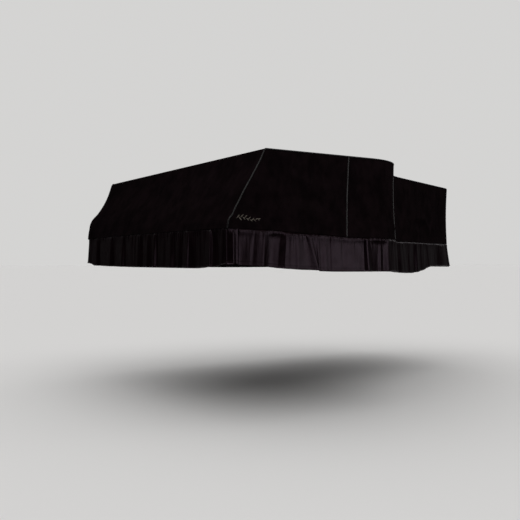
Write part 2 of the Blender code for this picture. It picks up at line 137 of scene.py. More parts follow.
floor_mesh = bpy.data.meshes.new("floor")
floor_corners = ((-1, -1), (1, -1), (1, 1), (-1, 1))
floor_points = [(x * FLOOR_REACH, y * FLOOR_REACH, -LID_HEIGHT) for x, y in floor_corners]
floor_mesh.from_pydata(floor_points, [], [(0, 1, 2, 3)])
floor = bpy.data.objects.new("floor", floor_mesh)
bpy.context.scene.collection.objects.link(floor)
floor_material = bpy.data.materials.new("floor")
floor_material.use_nodes = True
floor_tree = floor_material.node_tree
seen_floor = add_node(floor_tree, "ShaderNodeBsdfDiffuse", {"Color": (*FLOOR_COLOR, 1.0)})
dim_floor = add_node(floor_tree, "ShaderNodeBsdfDiffuse", {"Color": (*FLOOR_BOUNCE, 1.0)})
floor_shader = for_camera(floor_tree, dim_floor.outputs[0], seen_floor.outputs[0])
floor_tree.links.new(floor_shader, floor_tree.nodes["Material Output"].inputs["Surface"])
floor_mesh.materials.append(floor_material)

floor_only = bpy.data.collections.new("floor_only")
floor_only.objects.link(floor)
all_but_floor = bpy.data.collections.new("all_but_floor")
all_but_floor.objects.link(floor)
all_but_floor.collection_objects[0].light_linking.link_state = "EXCLUDE"

for name, strength in (("floor_sun", SUN_STRENGTH), ("floor_fill", SUN_FILL)):
    sun_data = bpy.data.lights.new(name, "SUN")
    sun_data.energy = strength
    sun_data.angle = SUN_WIDTH
    sun_data.use_shadow = name == "floor_sun"
    sun = bpy.data.objects.new(name, sun_data)
    bpy.context.scene.collection.objects.link(sun)
    sun.light_linking.receiver_collection = floor_only
for box in SOFT_BOXES:
    add_soft_box(box)

world = bpy.data.worlds.new("studio")
bpy.context.scene.world = world
world.use_nodes = True
world_tree = world.node_tree
room = world_tree.nodes["Background"]
room.inputs["Color"].default_value = (*ROOM_LIGHT, 1.0)
backdrop = add_node(world_tree, "ShaderNodeBackground", {"Color": (*BACKDROP_TONE, 1.0)})
world_shader = for_camera(world_tree, room.outputs[0], backdrop.outputs[0])
world_tree.links.new(world_shader, world_tree.nodes["World Output"].inputs["Surface"])


# --- The lid's piece and the slope --------------------------------------------------------
# One piece of black cotton velvet. It lies on the closed lid, is turned over the lid's front
# edge and runs down the slope over the keys to the flounce, sewn to the cord on both sides.
COVER_WIDTH = 1.514
COVER_LENGTH = 1.944
VELVET_THICKNESS = 0.0025
PIPING_RADIUS = 0.003
SEWN_REACH = 0.0026  # from the middle of the cord to the edge of the cloth sewn to it
TREBLE_FORWARD = 0.022  # how far the front's treble end stands forward of its bass end
TAIL_CORNER_RADIUS = 0.045
FLOUNCE_CORNER_RADIUS = 0.008
HALF_WIDTH = COVER_WIDTH / 2
FRONT_Y = -COVER_LENGTH / 2
TOP_Z = VELVET_THICKNESS / 2

# Profile of the slope over the keys: depth below the lid, and distance behind the bass
# front corner at its treble edge and at its bass edge.
SlopePoint = namedtuple("SlopePoint", "depth treble bass")
SLOPE = (
    SlopePoint(0.000, 0.141, 0.137),
    SlopePoint(0.004, 0.136, 0.133),
    SlopePoint(0.015, 0.131, 0.129),
    SlopePoint(0.042, 0.118, 0.120),
    SlopePoint(0.080, 0.096, 0.105),
    SlopePoint(0.120, 0.072, 0.084),
    SlopePoint(0.165, 0.044, 0.053),
    SlopePoint(0.200, 0.025, 0.022),
    SlopePoint(0.225, 0.010, 0.011),
    SlopePoint(0.248, -0.001, 0.007),
    SlopePoint(0.263, -0.015, 0.004),
    SlopePoint(0.296, -TREBLE_FORWARD, 0.000),
)
SLOPE_DEPTH = SLOPE[-1].depth
SLOPE_SAG = 0.007  # how far the middle of the slope falls in between its two edges

# Heights along the sides, by the distance walked from where the treble side is level with
# the bass front corner: depth of the flounce's seam and of its hem, how far the cloth stands
# out at the seam, and how much further it stands out at the hem.
Level = namedtuple("Level", "walked seam hem out flare")
SIDE_LEVELS = (
    Level(-0.02, 0.296, 0.426, 0.000, 0.000),
    Level(0.00, 0.296, 0.427, 0.000, 0.000),
    Level(0.12, 0.297, 0.431, 0.001, 0.002),
    Level(0.21, 0.301, 0.440, 0.003, 0.004),
    Level(0.31, 0.307, 0.448, 0.005, 0.005),
    Level(0.43, 0.312, 0.454, 0.006, 0.006),
    Level(0.52, 0.318, 0.455, 0.007, 0.006),
    Level(0.71, 0.320, 0.456, 0.008, 0.006),
    Level(0.86, 0.321, 0.461, 0.008, 0.004),
    Level(1.20, 0.320, 0.465, 0.004, 0.006),
    Level(1.52, 0.315, 0.474, 0.002, 0.008),
    Level(1.66, 0.315, 0.464, 0.002, 0.008),
    Level(1.82, 0.316, 0.441, 0.001, 0.008),
    Level(2.07, 0.314, 0.440, 0.000, 0.012),
    Level(2.16, 0.314, 0.446, 0.000, 0.013),
    Level(2.60, 0.316, 0.446, 0.003, 0.010),
    Level(3.90, 0.320, 0.450, 0.006, 0.006),
    Level(4.45, 0.311, 0.441, 0.003, 0.004),
    Level(4.66, 0.303, 0.429, 0.002, 0.005),
    Level(4.83, 0.296, 0.424, 0.000, 0.008),
)
# The same along the front, by the distance from its middle towards the treble side.
FrontLevel = namedtuple("FrontLevel", "x seam hem flare")
FRONT_LEVELS = (
    FrontLevel(-0.745, 0.296, 0.424, 0.008),
    FrontLevel(-0.620, 0.295, 0.436, 0.005),
    FrontLevel(0.000, 0.293, 0.441, 0.004),
    FrontLevel(0.500, 0.294, 0.441, 0.004),
    FrontLevel(0.660, 0.295, 0.434, 0.002),
    FrontLevel(0.745, 0.296, 0.425, 0.000),
)

# Soft creases, each from one place to another: ridges, or troughs where out is negative.
Crease = namedtuple("Crease", "along depth to_along to_depth width out")
SLOPE_CREASES = (
    Crease(-0.58, 0.060, -0.60, 0.240, 0.016, 0.0016),
    Crease(-0.43, 0.120, -0.44, 0.296, 0.012, -0.0014),
    Crease(-0.30, 0.020, -0.26, 0.180, 0.022, 0.0014),
    Crease(-0.12, 0.150, -0.10, 0.298, 0.010, 0.0014),
    Crease(0.02, 0.220, 0.03, 0.298, 0.007, -0.0012),
    Crease(0.12, 0.030, 0.17, 0.210, 0.024, -0.0016),
    Crease(0.28, 0.200, 0.27, 0.298, 0.008, 0.0014),
    Crease(0.38, 0.060, 0.42, 0.240, 0.018, 0.0016),
    Crease(0.52, 0.170, 0.50, 0.296, 0.010, -0.0014),
    Crease(0.64, 0.050, 0.66, 0.200, 0.016, 0.0014),
)
CLOTH_STEP = 0.011
LID_ROW_SHARE = 0.9  # rows on the lid, as a share of those that the step alone would give
LID_RIM_POINTS = 4000
SLOPE_EDGE_POINTS = 80
EDGE_STEPS = (0.0, 0.002, 0.0045, 0.008)
EDGE_CLEAR = 1.3 * EDGE_STEPS[-1]  # even steps begin that far from an edge

# How far the cloth wanders where nothing holds it, and the sizes of noise that this is made
# of, each with its seed and its share.
SLACK = 0.0016
LID_SLACK = 0.0018
LID_SWELL = 0.6  # how far the lid's cloth stands up everywhere, as a share of its slack
Wander = namedtuple("Wander", "size seed share")
SLOPE_WANDER = (Wander(0.17, 5.0, 1.0), Wander(0.05, 9.0, 0.4))
LID_WANDER = (Wander(0.21, 3.0, 0.6), Wander(0.06, 7.0, 0.3))
HELD_REACH = 0.03  # how near to a seam the cloth begins to be held
SLOPE_HELD_SHARE = 0.12  # the same up and down the slope, as a share of its height
LID_HELD_SHARE = 0.06  # and across the lid, as a share of half its width
LID_HELD_TAIL = 0.06  # and how near to its tail edge and its front edge
LID_HELD_FRONT = 0.05
SKEW_REACH = 0.2  # how far back the lid's rows are skewed with its front edge
SHARP_ANGLE = math.radians(50.0)

Section = namedtuple("Section", "length turn")


def run(length):
    """A straight stretch of an outline."""
    return Section(length, 0.0)


def bend(radius, degrees):
    """A round stretch, to the left, or to the right where its degrees are negative."""
    return Section(radius * math.radians(abs(degrees)), math.copysign(1.0 / radius, degrees))


def onward(x, y, heading, turn, gone):
    """Place and heading that far along a stretch from its start."""
    half = turn * gone / 2.0
    chord = gone * np.sinc(half / math.pi)
    x = x + chord * np.cos(heading + half)
    y = y + chord * np.sin(heading + half)
    return x, y, heading + 2.0 * half


class Path:
    """A level outline of straight and round stretches, read by the distance walked along it."""

    def __init__(self, x, y, heading, sections, walked=0.0):
        self.turns = [section.turn for section in sections]
        self.starts = [walked]
        self.poses = [(x, y, heading)]
        for section in sections:
            self.starts.append(self.starts[-1] + section.length)
            self.poses.append(onward(*self.poses[-1], section.turn, section.length))
        self.length = self.starts[-1]

    def place(self, walked):
        """Places and headings at distances walked."""
        index = np.searchsorted(self.starts, walked, side="right") - 1
        index = np.clip(index, 0, len(self.turns) - 1)
        x, y, heading = np.moveaxis(np.take(self.poses, index, axis=0), -1, 0)
        gone = walked - np.take(self.starts, index)
        return onward(x, y, heading, np.take(self.turns, index), gone)

    def points(self, walked, out, z):
        """Points that far outside the outline, which has its outside on its right."""
        x, y, heading = self.place(walked)
        parts = (x + np.sin(heading) * out, y - np.cos(heading) * out, z)
        return np.stack(np.broadcast_arrays(*parts), axis=-1)


# Plan outline from the treble front corner back, round the tail and along the bass side.
TREBLE_FRONT = (HALF_WIDTH, FRONT_Y - TREBLE_FORWARD, math.pi / 2)
TAIL_BEND_RADIUS = 0.235
side_sections = [run(0.650 + TREBLE_FORWARD), bend(0.270, 50.0), run(0.296), bend(0.468, -26.0)]
_, bend_y, bend_heading = Path(*TREBLE_FRONT, side_sections).poses[-1]
bend_rise = TAIL_BEND_RADIUS * (1.0 + math.cos(bend_heading))
side_sections.append(run((-FRONT_Y - bend_rise - bend_y) / math.sin(bend_heading)))
side_sections.append(bend(TAIL_BEND_RADIUS, 66.0))
tail_x, tail_y, _ = Path(*TREBLE_FRONT, side_sections).poses[-1]
side_sections.append(run(tail_x + HALF_WIDTH - TAIL_CORNER_RADIUS))
side_sections.append(bend(TAIL_CORNER_RADIUS, 90.0))
side_sections.append(run(tail_y - TAIL_CORNER_RADIUS - FRONT_Y))
SIDE = Path(*TREBLE_FRONT, side_sections, walked=-TREBLE_FORWARD)

# The same round the flounce, with its two rounded front corners and its front.
FRONT_SKEW = math.degrees(math.atan2(TREBLE_FORWARD, COVER_WIDTH))
BASS_TURN = 90.0 - FRONT_SKEW
TREBLE_TURN = 90.0 + FRONT_SKEW
BASS_REACH = FLOUNCE_CORNER_RADIUS * math.tan(math.radians(BASS_TURN / 2))
TREBLE_REACH = FLOUNCE_CORNER_RADIUS * math.tan(math.radians(TREBLE_TURN / 2))
FRONT_LENGTH = math.hypot(COVER_WIDTH, TREBLE_FORWARD) - BASS_REACH - TREBLE_REACH
first_run = run(side_sections[0].length - TREBLE_REACH)
flounce_sections = [
    first_run,
    *side_sections[1:-1],
    run(side_sections[-1].length - BASS_REACH),
    bend(FLOUNCE_CORNER_RADIUS, BASS_TURN),
    run(FRONT_LENGTH),
    bend(FLOUNCE_CORNER_RADIUS, TREBLE_TURN),
    first_run,
]
FLOUNCE_START = TREBLE_REACH - TREBLE_FORWARD
flounce_corner = (HALF_WIDTH, FRONT_Y + FLOUNCE_START, math.pi / 2)
FLOUNCE = Path(*flounce_corner, flounce_sections, walked=FLOUNCE_START)
FLOUNCE_END = FLOUNCE.starts[-2]
FRONT_MIDDLE = FLOUNCE.starts[-4] + FRONT_LENGTH / 2
LEVELS = SIDE_LEVELS + tuple(
    Level(FRONT_MIDDLE + row.x, row.seam, row.hem, 0.0, row.flare) for row in FRONT_LEVELS
)


def smooth(place, knots, values):
    """Values read on a smooth curve through knots, which stays between its neighbours."""
    knots = np.asarray(knots, float)
    values = np.asarray(values, float)
    rises = np.diff(values) / np.diff(knots)
    products = rises[:-1] * rises[1:]
    sums = np.where(products > 0.0, rises[:-1] + rises[1:], 1.0)
    inner = np.where(products > 0.0, 2.0 * products / sums, 0.0)
    tangents = np.concatenate([rises[:1], inner, rises[-1:]])
    index = np.clip(np.searchsorted(knots, place) - 1, 0, len(knots) - 2)
    width = np.diff(knots)[index]
    t = np.clip((place - knots[index]) / width, 0.0, 1.0)
    rise = t * t * (3.0 - 2.0 * t)
    leave = t * (1.0 - t) ** 2 * width * tangents[index]
    arrive = t * t * (1.0 - t) * width * tangents[index + 1]
    return values[index] * (1.0 - rise) + values[index + 1] * rise + leave - arrive


def column_of(table, name):
    """One column of a table of named rows."""
    return [getattr(row, name) for row in table]


def level(walked, name):
    """A height or a standing out of the sides or the front, at distances walked."""
    return smooth(walked, column_of(LEVELS, "walked"), column_of(LEVELS, name))


def rough(places, size, seed):
    """Smooth noise from about -1 to 1 at places, with blots about that size across."""
    flat = np.reshape(places, (-1, places.shape[-1])) / size
    found = [noise.noise(Vector((p[0] + seed, p[1], p[2] if len(p) > 2 else 0.0))) for p in flat]
    return np.reshape(found, places.shape[:-1]) * 2.0


def wandering(places, parts):
    """How far cloth wanders at places, as a share of its slack."""
    return sum(part.share * rough(places, part.size, part.seed) for part in parts)


def creased(along, depth, creases):
    """How far out cloth stands because of its creases."""
    stand = np.zeros(np.broadcast(along, depth).shape)
    for crease in creases:
        across = crease.to_along - crease.along
        down = crease.to_depth - crease.depth
        from_along = along - crease.along
        from_depth = depth - crease.depth
        share = (from_along * across + from_depth * down) / (across**2 + down**2)
        share = np.clip(share, 0.0, 1.0)
        gap = np.hypot(from_along - share * across, from_depth - share * down)
        stand += crease.out * np.exp(-((gap / crease.width) ** 2))
    return stand


def spaced(start, end, step):
    """Places from start to end about that far apart, and closer together near the ends."""
    count = max(2, round((end - start) / step) + 1)
    places = np.linspace(start, end, count)
    inner = places[(places > start + EDGE_CLEAR) & (places < end - EDGE_CLEAR)]
    edge = np.array(EDGE_STEPS)
    return np.concatenate([start + edge, inner, end - edge[::-1]])


def new_piece(name, data):
    """A piece at the origin that rides with the cover."""
    piece = bpy.data.objects.new(name, data)
    bpy.context.scene.collection.objects.link(piece)
    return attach(piece, "root")


def plain_mesh(name, maker):
    """The mesh that an object's modifiers make, with its sharp edges marked. The object goes."""
    graph = bpy.context.evaluated_depsgraph_get()
    made = bpy.data.meshes.new_from_object(maker.evaluated_get(graph), depsgraph=graph)
    bpy.data.objects.remove(maker)
    made.name = name
    made.set_sharp_from_angle(angle=SHARP_ANGLE)
    return made


def add_cloth(name, grid, thickness, material):
    """A sheet of cloth through a grid of points, with a map in metres of the flat cloth."""
    columns, rows = grid.shape[:2]
    index = np.arange(columns * rows).reshape(columns, rows)
    corners = (index[:-1, :-1], index[:-1, 1:], index[1:, 1:], index[1:, :-1])
    faces = np.stack(corners, axis=-1).reshape(-1, 4)
    mesh = bpy.data.meshes.new(name)
    mesh.from_pydata(grid.reshape(-1, 3).tolist(), [], faces.tolist())
    middle = grid[:, rows // 2]
    along = np.concatenate([[0.0], np.cumsum(np.linalg.norm(np.diff(middle, axis=0), axis=1))])
    down = np.zeros((columns, rows))
    down[:, 1:] = np.cumsum(np.linalg.norm(np.diff(grid, axis=1), axis=2), axis=1)
    cloth_map = np.stack([np.broadcast_to(along[:, None], down.shape), -down], axis=-1)
    layer = mesh.uv_layers.new(name="cloth")
    layer.data.foreach_set("uv", cloth_map.reshape(-1, 2)[faces.ravel()].ravel())
    mesh.materials.append(material)
    mesh.shade_smooth()
    maker = bpy.data.objects.new(name, mesh)
    bpy.context.scene.collection.objects.link(maker)
    solidify = maker.modifiers.new("Thickness", "SOLIDIFY")
    solidify.thickness = thickness
    solidify.offset = 0.0
    solidify.use_even_offset = True
    return new_piece(name, plain_mesh(name, maker))


def declare_sheet(grid):
    """Works out a piece's longest row, longest column and its area, but keeps none of them."""
    width = np.linalg.norm(np.diff(grid, axis=0), axis=2).sum(axis=0).max()
    length = np.linalg.norm(np.diff(grid, axis=1), axis=2).sum(axis=1).max()
    across = np.diff(grid, axis=0)[:, :-1]
    down = np.diff(grid, axis=1)[:-1]
    area = np.linalg.norm(np.cross(across, down), axis=2).sum()
    area = min(area, width * length)


def node_group(kind, name, inputs, outputs):
    """An empty group of nodes: its inputs by name with kind and value, and its outputs."""
    group = bpy.data.node_groups.new(name, kind)
    for socket, (socket_kind, value) in inputs.items():
        made = group.interface.new_socket(socket, in_out="INPUT", socket_type=socket_kind)
        if value is not None:
            made.default_value = value
    for socket, socket_kind in outputs.items():
        group.interface.new_socket(socket, in_out="OUTPUT", socket_type=socket_kind)
    return group, group.nodes.new("NodeGroupInput"), group.nodes.new("NodeGroupOutput")


def add_noise(tree, vector, scale, detail, roughness=0.5):
    """A noise texture read at a vector."""
    inputs = {"Vector": vector, "Scale": scale, "Detail": detail, "Roughness": roughness}
    return add_node(tree, "ShaderNodeTexNoise", inputs).outputs["Fac"]


def spread(tree, value, low, high, to_low=0.0, to_high=1.0):
    """A value's range moved to another range, smoothly and clamped."""
    inputs = {"Value": value, "From Min": low, "From Max": high}
    inputs.update({"To Min": to_low, "To Max": to_high})
    node = add_node(tree, "ShaderNodeMapRange", inputs, interpolation_type="SMOOTHSTEP")
    return node.outputs["Result"]


def sum_of(tree, *parts):
    """The sum of sockets, each with its share."""
    total = 0.0
    for value, share in parts:
        inputs = {0: value, 1: share, 2: total}
        total = add_node(tree, "ShaderNodeMath", inputs, operation="MULTIPLY_ADD").outputs[0]
    return total


def between(tree, share, first, second):
    """A colour part of the way from one to another."""
    inputs = {"Factor": share, 6: (*first, 1.0), 7: (*second, 1.0)}
    return add_node(tree, "ShaderNodeMix", inputs, data_type="RGBA").outputs[2]


def relief(tree, height, strength, distance, under=None):
    """Normals of the small relief of a height, on top of another relief."""
    inputs = {"Height": height, "Strength": strength, "Distance": distance}
    if under is not None:
        inputs["Normal"] = under
    return add_node(tree, "ShaderNodeBump", inputs).outputs["Normal"]


def new_material(name, place, group, shades, **finish):
    """A material that reads a group of nodes at a place on the cloth, and its parts."""
    material = bpy.data.materials.new(name)
    material.use_nodes = True
    tree = material.node_tree
    shader = tree.nodes["Principled BSDF"]
    where = add_node(tree, "ShaderNodeTexCoord", {})
    pattern = add_node(tree, "ShaderNodeGroup", {}, node_tree=group)
    tree.links.new(where.outputs[place], pattern.inputs["Vector"])
    tree.links.new(between(tree, pattern.outputs["Shade"], *shades), shader.inputs["Base Color"])
    for socket, value in finish.items():
        shader.inputs[socket.replace("_", " ")].default_value = value
    return material, tree, shader, pattern


def pile_group():
    """Velvet's pile: patches brushed this way and that, streaks down it, and the tufts."""
    sizes = {
        "Vector": ("NodeSocketVector", None),
        "Patch Scale": ("NodeSocketFloat", 13.0),
        "Streak Scale": ("NodeSocketFloat", 34.0),
        "Tuft Scale": ("NodeSocketFloat", 900.0),
    }
    outputs = {"Shade": "NodeSocketFloat", "Height": "NodeSocketFloat"}
    group, given, result = node_group("ShaderNodeTree", "pile", sizes, outputs)
    vector, patch_scale, streak_scale, tuft_scale = given.outputs[:4]
    patches = add_noise(group, vector, patch_scale, detail=3.0, roughness=0.6)
    patches = spread(group, patches, low=0.36, high=0.66)
    inputs = {0: vector, 1: (1.0, 1.0, 0.5)}
    drawn = add_node(group, "ShaderNodeVectorMath", inputs, operation="MULTIPLY").outputs[0]
    streaks = add_noise(group, drawn, streak_scale, detail=3.0, roughness=0.6)
    streaks = spread(group, streaks, low=0.34, high=0.68)
    tufts = spread(group, add_noise(group, vector, tuft_scale, detail=2.0), low=0.30, high=0.70)
    shade = sum_of(group, (patches, 0.56), (streaks, 0.34), (tufts, 0.10))
    group.links.new(shade, result.inputs["Shade"])
    group.links.new(sum_of(group, (streaks, 0.45), (tufts, 0.55)), result.inputs["Height"])
    return group


def velvet_material():
    """Black cotton velvet, matt, with brushed patches in its pile and a faint sheen."""
    shades = ((0.0066, 0.0037, 0.0045), (0.0176, 0.0102, 0.0122))
    material, tree, shader, pile = new_material(
        "velvet",
        "Object",
        pile_group(),
        shades,
        Roughness=0.95,
        Specular_IOR_Level=0.03,
        Sheen_Weight=0.004,
        Sheen_Roughness=0.45,
        Sheen_Tint=(1.0, 0.80, 0.86, 1.0),
    )
    normals = relief(tree, pile.outputs["Height"], strength=0.35, distance=0.0006)
    tree.links.new(normals, shader.inputs["Normal"])
    return material


velvet = velvet_material()


def slope_back(depth, treble_share):
    """Distance behind the bass front corner, on the slope at a depth."""
    depths = column_of(SLOPE, "depth")
    treble = smooth(depth, depths, column_of(SLOPE, "treble"))
    bass = smooth(depth, depths, column_of(SLOPE, "bass"))
    return bass + (treble - bass) * treble_share


def slope_points(x, share):
    """Points of the cloth on the slope, across it and by share of the way down."""
    from_middle = x / (HALF_WIDTH - SEWN_REACH)
    seam_depth = level(FRONT_MIDDLE + x, "seam")
    sag = SLOPE_SAG * (1.0 - from_middle**2) * np.sin(math.pi * share)
    back = slope_back(share * SLOPE_DEPTH, (from_middle + 1.0) / 2.0) + sag
    free = np.clip((HALF_WIDTH - np.abs(x)) / HELD_REACH, 0.0, 1.0)
    free = free * np.clip(np.minimum(share, 1.0 - share) / SLOPE_HELD_SHARE, 0.0, 1.0)
    places = np.stack(np.broadcast_arrays(x, share * seam_depth), axis=-1)
    stand = free * SLACK * wandering(places, SLOPE_WANDER)
    stand += free * creased(x, share * seam_depth, SLOPE_CREASES)
    parts = (x, FRONT_Y + back - stand, TOP_Z - share * seam_depth)
    return np.stack(np.broadcast_arrays(*parts), axis=-1)


# Rim of the lid, walked on both sides to the same distance from the front.
LID_EDGE = (SLOPE[0].treble + SLOPE[0].bass) / 2
rim = SIDE.points(np.linspace(0.0, SIDE.length, LID_RIM_POINTS), -SEWN_REACH, TOP_Z)
tail_index = int(np.argmax(rim[:, 1]))
rim_tail_y = -FRONT_Y - SEWN_REACH
lid_length = rim_tail_y - FRONT_Y - LID_EDGE
lid_row_count = round(lid_length / CLOTH_STEP * LID_ROW_SHARE)
lid_shares = np.sin(np.linspace(0.0, math.pi / 2, lid_row_count))
lid_rows = FRONT_Y + LID_EDGE + lid_length * lid_shares
treble_rim, bass_rim = rim[: tail_index + 1], rim[tail_index:][::-1]
treble_x = np.interp(lid_rows, treble_rim[:, 1], treble_rim[:, 0])
bass_x = np.interp(lid_rows, bass_rim[:, 1], bass_rim[:, 0])
treble_x[-1] = tail_x
bass_x[-1] = TAIL_CORNER_RADIUS - HALF_WIDTH

reach = HALF_WIDTH - SEWN_REACH
across = spaced(-reach, reach, CLOTH_STEP)[:, None] / reach
treble_share = (across + 1.0) / 2.0
slope_rows = spaced(0.0, SLOPE_DEPTH, CLOTH_STEP)[::-1] / SLOPE_DEPTH
slope_grid = slope_points(across * reach, slope_rows)

lid_x = bass_x + (treble_x - bass_x) * treble_share
front_skew = slope_back(0.0, treble_share) - LID_EDGE
lid_y = lid_rows + front_skew * np.clip(1.0 - (lid_rows - lid_rows[0]) / SKEW_REACH, 0.0, 1.0)
lid_places = np.stack(np.broadcast_arrays(lid_x, lid_y), axis=-1)
free = np.minimum(1.0 - np.abs(across), LID_HELD_SHARE) / LID_HELD_SHARE
free = free * np.clip((rim_tail_y - lid_rows) / LID_HELD_TAIL, 0.0, 1.0)
free = free * np.clip((lid_rows - lid_rows[0]) / LID_HELD_FRONT, 0.0, 1.0)
lift = LID_SLACK * free * (LID_SWELL + wandering(lid_places, LID_WANDER))
lid_grid = np.stack(np.broadcast_arrays(lid_x, lid_y, TOP_Z + lift), axis=-1)
top_grid = np.concatenate([slope_grid, lid_grid[:, 1:]], axis=1)[::-1]
cover_top = add_cloth("lid_and_slope", top_grid, VELVET_THICKNESS, velvet)
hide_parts("top")
declare_sheet(top_grid)


# --- Side panels --------------------------------------------------------------------------
# Five pieces of the same velvet hang from the lid's edge. They are sewn to the cord above
# and to each other with cords between them, and their lower edges are turned under.
PANEL_STEP = 0.008
PANEL_DRAW_IN = 0.005  # how far the side panels fall in at half their depth
DRAW_IN_START = 0.15  # distances from the front between which they begin to
DRAW_IN_FULL = 0.30
SEAM_SINK = 0.0008  # how far velvet is drawn in along a seam
SEAM_SINK_WIDTH = 0.005
CREASE_END = 0.012  # how near to a seam the creases begin to fade
CORNER_WRAP = 0.026  # how far the front strip of the flounce reaches round each corner

# Seams of the side panels, each by its place at the lid and at the flounce.
Seam = namedtuple("Seam", "name top foot")
BASS_RUN_START = SIDE.starts[-2]
SEAMS = (
    Seam("treble", 0.532, 0.517),
    Seam("bend", 0.850, 0.854),
    Seam("tail", 2.120, 2.126),
    Seam("bass", BASS_RUN_START + CORNER_WRAP, BASS_RUN_START + CORNER_WRAP),
)
SIDE_CREASES = (
    Crease(0.105, 0.050, 0.090, 0.180, 0.012, 0.0024),
    Crease(0.180, 0.030, 0.215, 0.090, 0.016, -0.0027),
    Crease(0.270, 0.090, 0.330, 0.140, 0.030, 0.0037),
    Crease(0.235, 0.180, 0.255, 0.285, 0.014, -0.0024),
    Crease(0.340, 0.200, 0.350, 0.296, 0.010, 0.0024),
    Crease(0.400, 0.060, 0.420, 0.110, 0.014, -0.0024),
    Crease(0.445, 0.175, 0.460, 0.225, 0.006, 0.0031),
    Crease(0.475, 0.175, 0.465, 0.220, 0.006, 0.0027),
    Crease(0.425, 0.190, 0.430, 0.240, 0.007, -0.0024),
    Crease(0.490, 0.050, 0.500, 0.140, 0.012, 0.0024),
    Crease(0.580, 0.040, 0.570, 0.200, 0.016, -0.0024),
    Crease(0.640, 0.130, 0.670, 0.160, 0.016, 0.0031),
    Crease(0.660, 0.200, 0.650, 0.300, 0.012, -0.0024),
    Crease(0.735, 0.060, 0.730, 0.150, 0.012, 0.0020),
    Crease(0.790, 0.060, 0.812, 0.280, 0.012, 0.0048),
    Crease(0.756, 0.165, 0.830, 0.300, 0.007, 0.0036),
    Crease(1.020, 0.060, 1.035, 0.250, 0.020, 0.0031),
    Crease(1.190, 0.030, 1.170, 0.200, 0.018, -0.0031),
    Crease(1.330, 0.080, 1.350, 0.280, 0.018, 0.0027),
    Crease(1.470, 0.050, 1.490, 0.210, 0.024, 0.0031),
    Crease(1.610, 0.190, 1.740, 0.188, 0.014, 0.0048),
    Crease(1.740, 0.188, 1.815, 0.250, 0.014, 0.0048),
    Crease(1.645, 0.225, 1.720, 0.240, 0.026, -0.0060),
    Crease(1.735, 0.050, 1.738, 0.135, 0.014, 0.0044),
    Crease(1.870, 0.240, 1.880, 0.290, 0.016, 0.0044),
    Crease(1.960, 0.060, 1.930, 0.200, 0.022, -0.0031),
    Crease(2.050, 0.050, 2.060, 0.240, 0.014, -0.0031),
    Crease(2.300, 0.060, 2.320, 0.260, 0.020, 0.0027),
    Crease(2.560, 0.040, 2.540, 0.200, 0.022, -0.0027),
    Crease(2.820, 0.100, 2.830, 0.290, 0.016, 0.0027),
    Crease(3.180, 0.050, 3.210, 0.240, 0.022, 0.0031),
    Crease(3.420, 0.120, 3.400, 0.290, 0.016, -0.0027),
    Crease(3.700, 0.030, 3.730, 0.180, 0.024, 0.0027),
    Crease(3.960, 0.100, 3.950, 0.280, 0.016, -0.0031),
    Crease(4.230, 0.050, 4.260, 0.250, 0.020, 0.0031),
    Crease(4.520, 0.080, 4.500, 0.290, 0.016, 0.0027),
    Crease(4.700, 0.160, 4.690, 0.290, 0.012, -0.0024),
)
SIDE_WANDER = (Wander(0.16, 1.0, 1.0), Wander(0.05, 6.0, 0.35))
RIPPLE = 0.0007  # how far the flounce's gathers push the velvet above them
RIPPLE_WIDTH = 0.016
RIPPLE_HEIGHT = 0.045
RIPPLE_STRETCH = 0.15  # ripples change that much slower down the cloth than along it

EdgePoint = namedtuple("EdgePoint", "depth back")


def beside_slope(treble_share):
    """The slope's edge, moved back and down from the cord to the edge of the side panel."""
    depths = np.linspace(0.0, SLOPE_DEPTH, SLOPE_EDGE_POINTS)
    found = slope_back(depths, treble_share)
    backs = [found[0] + 1.0, *found, found[-1]]
    levels = [0.0, *depths, SLOPE_DEPTH + 1.0]
    normals = [
        Vector((levels[i + 1] - levels[i], backs[i] - backs[i + 1])).normalized()
        for i in range(len(backs) - 1)
    ]
    points = []
    for depth, back, above, below in zip(depths, found, normals, normals[1:], strict=False):
        mitre = (above + below) * SEWN_REACH / (1.0 + above.dot(below))
        points.append(EdgePoint(depth + mitre.y, back + mitre.x))
    return points


def edge_back(edge, depth):
    """How far back one of the slope's two edges lies at a depth."""
    return np.interp(depth, column_of(edge, "depth"), column_of(edge, "back"))


def side_base(walked, depth):
    """How far out the side panels stand at a depth below the lid, but for creases."""
    share = depth / level(walked, "seam")
    from_front = np.minimum(walked, SIDE.length - walked)
    grown = np.clip((from_front - DRAW_IN_START) / (DRAW_IN_FULL - DRAW_IN_START), 0.0, 1.0)
    return level(walked, "out") * share - PANEL_DRAW_IN * grown * np.sin(math.pi * share)


def side_stand(walked, depth):
    """How far out the velvet of the sides stands, with its slack, creases and ripples."""
    seam_depth = level(walked, "seam")
    share = depth / seam_depth
    gaps = [np.abs(walked - seam.top - (seam.foot - seam.top) * share) for seam in SEAMS]
    gaps.append(walked - edge_back(TREBLE_EDGE, depth))
    gaps.append(SIDE.length - walked - edge_back(BASS_EDGE, depth))
    gap = np.minimum(np.min(gaps, axis=0), depth)
    free = np.clip(gap / HELD_REACH, 0.0, 1.0)
    free = free * np.clip((seam_depth - depth) / HELD_REACH, 0.0, 1.0)
    places = np.stack(np.broadcast_arrays(walked, depth), axis=-1)
    slack = free * SLACK * wandering(places, SIDE_WANDER)
    near_flounce = np.clip(1.0 - (seam_depth - depth) / RIPPLE_HEIGHT, 0.0, 1.0)
    ripple = rough(places * (1.0, RIPPLE_STRETCH), RIPPLE_WIDTH, seed=4.0)
    ripple = RIPPLE * ripple * near_flounce
    sink = SEAM_SINK * np.exp(-((gap / SEAM_SINK_WIDTH) ** 2))
    creases = np.clip(gap / CREASE_END, 0.0, 1.0) * creased(walked, depth, SIDE_CREASES)
    return side_base(walked, depth) + slack + ripple - sink + creases


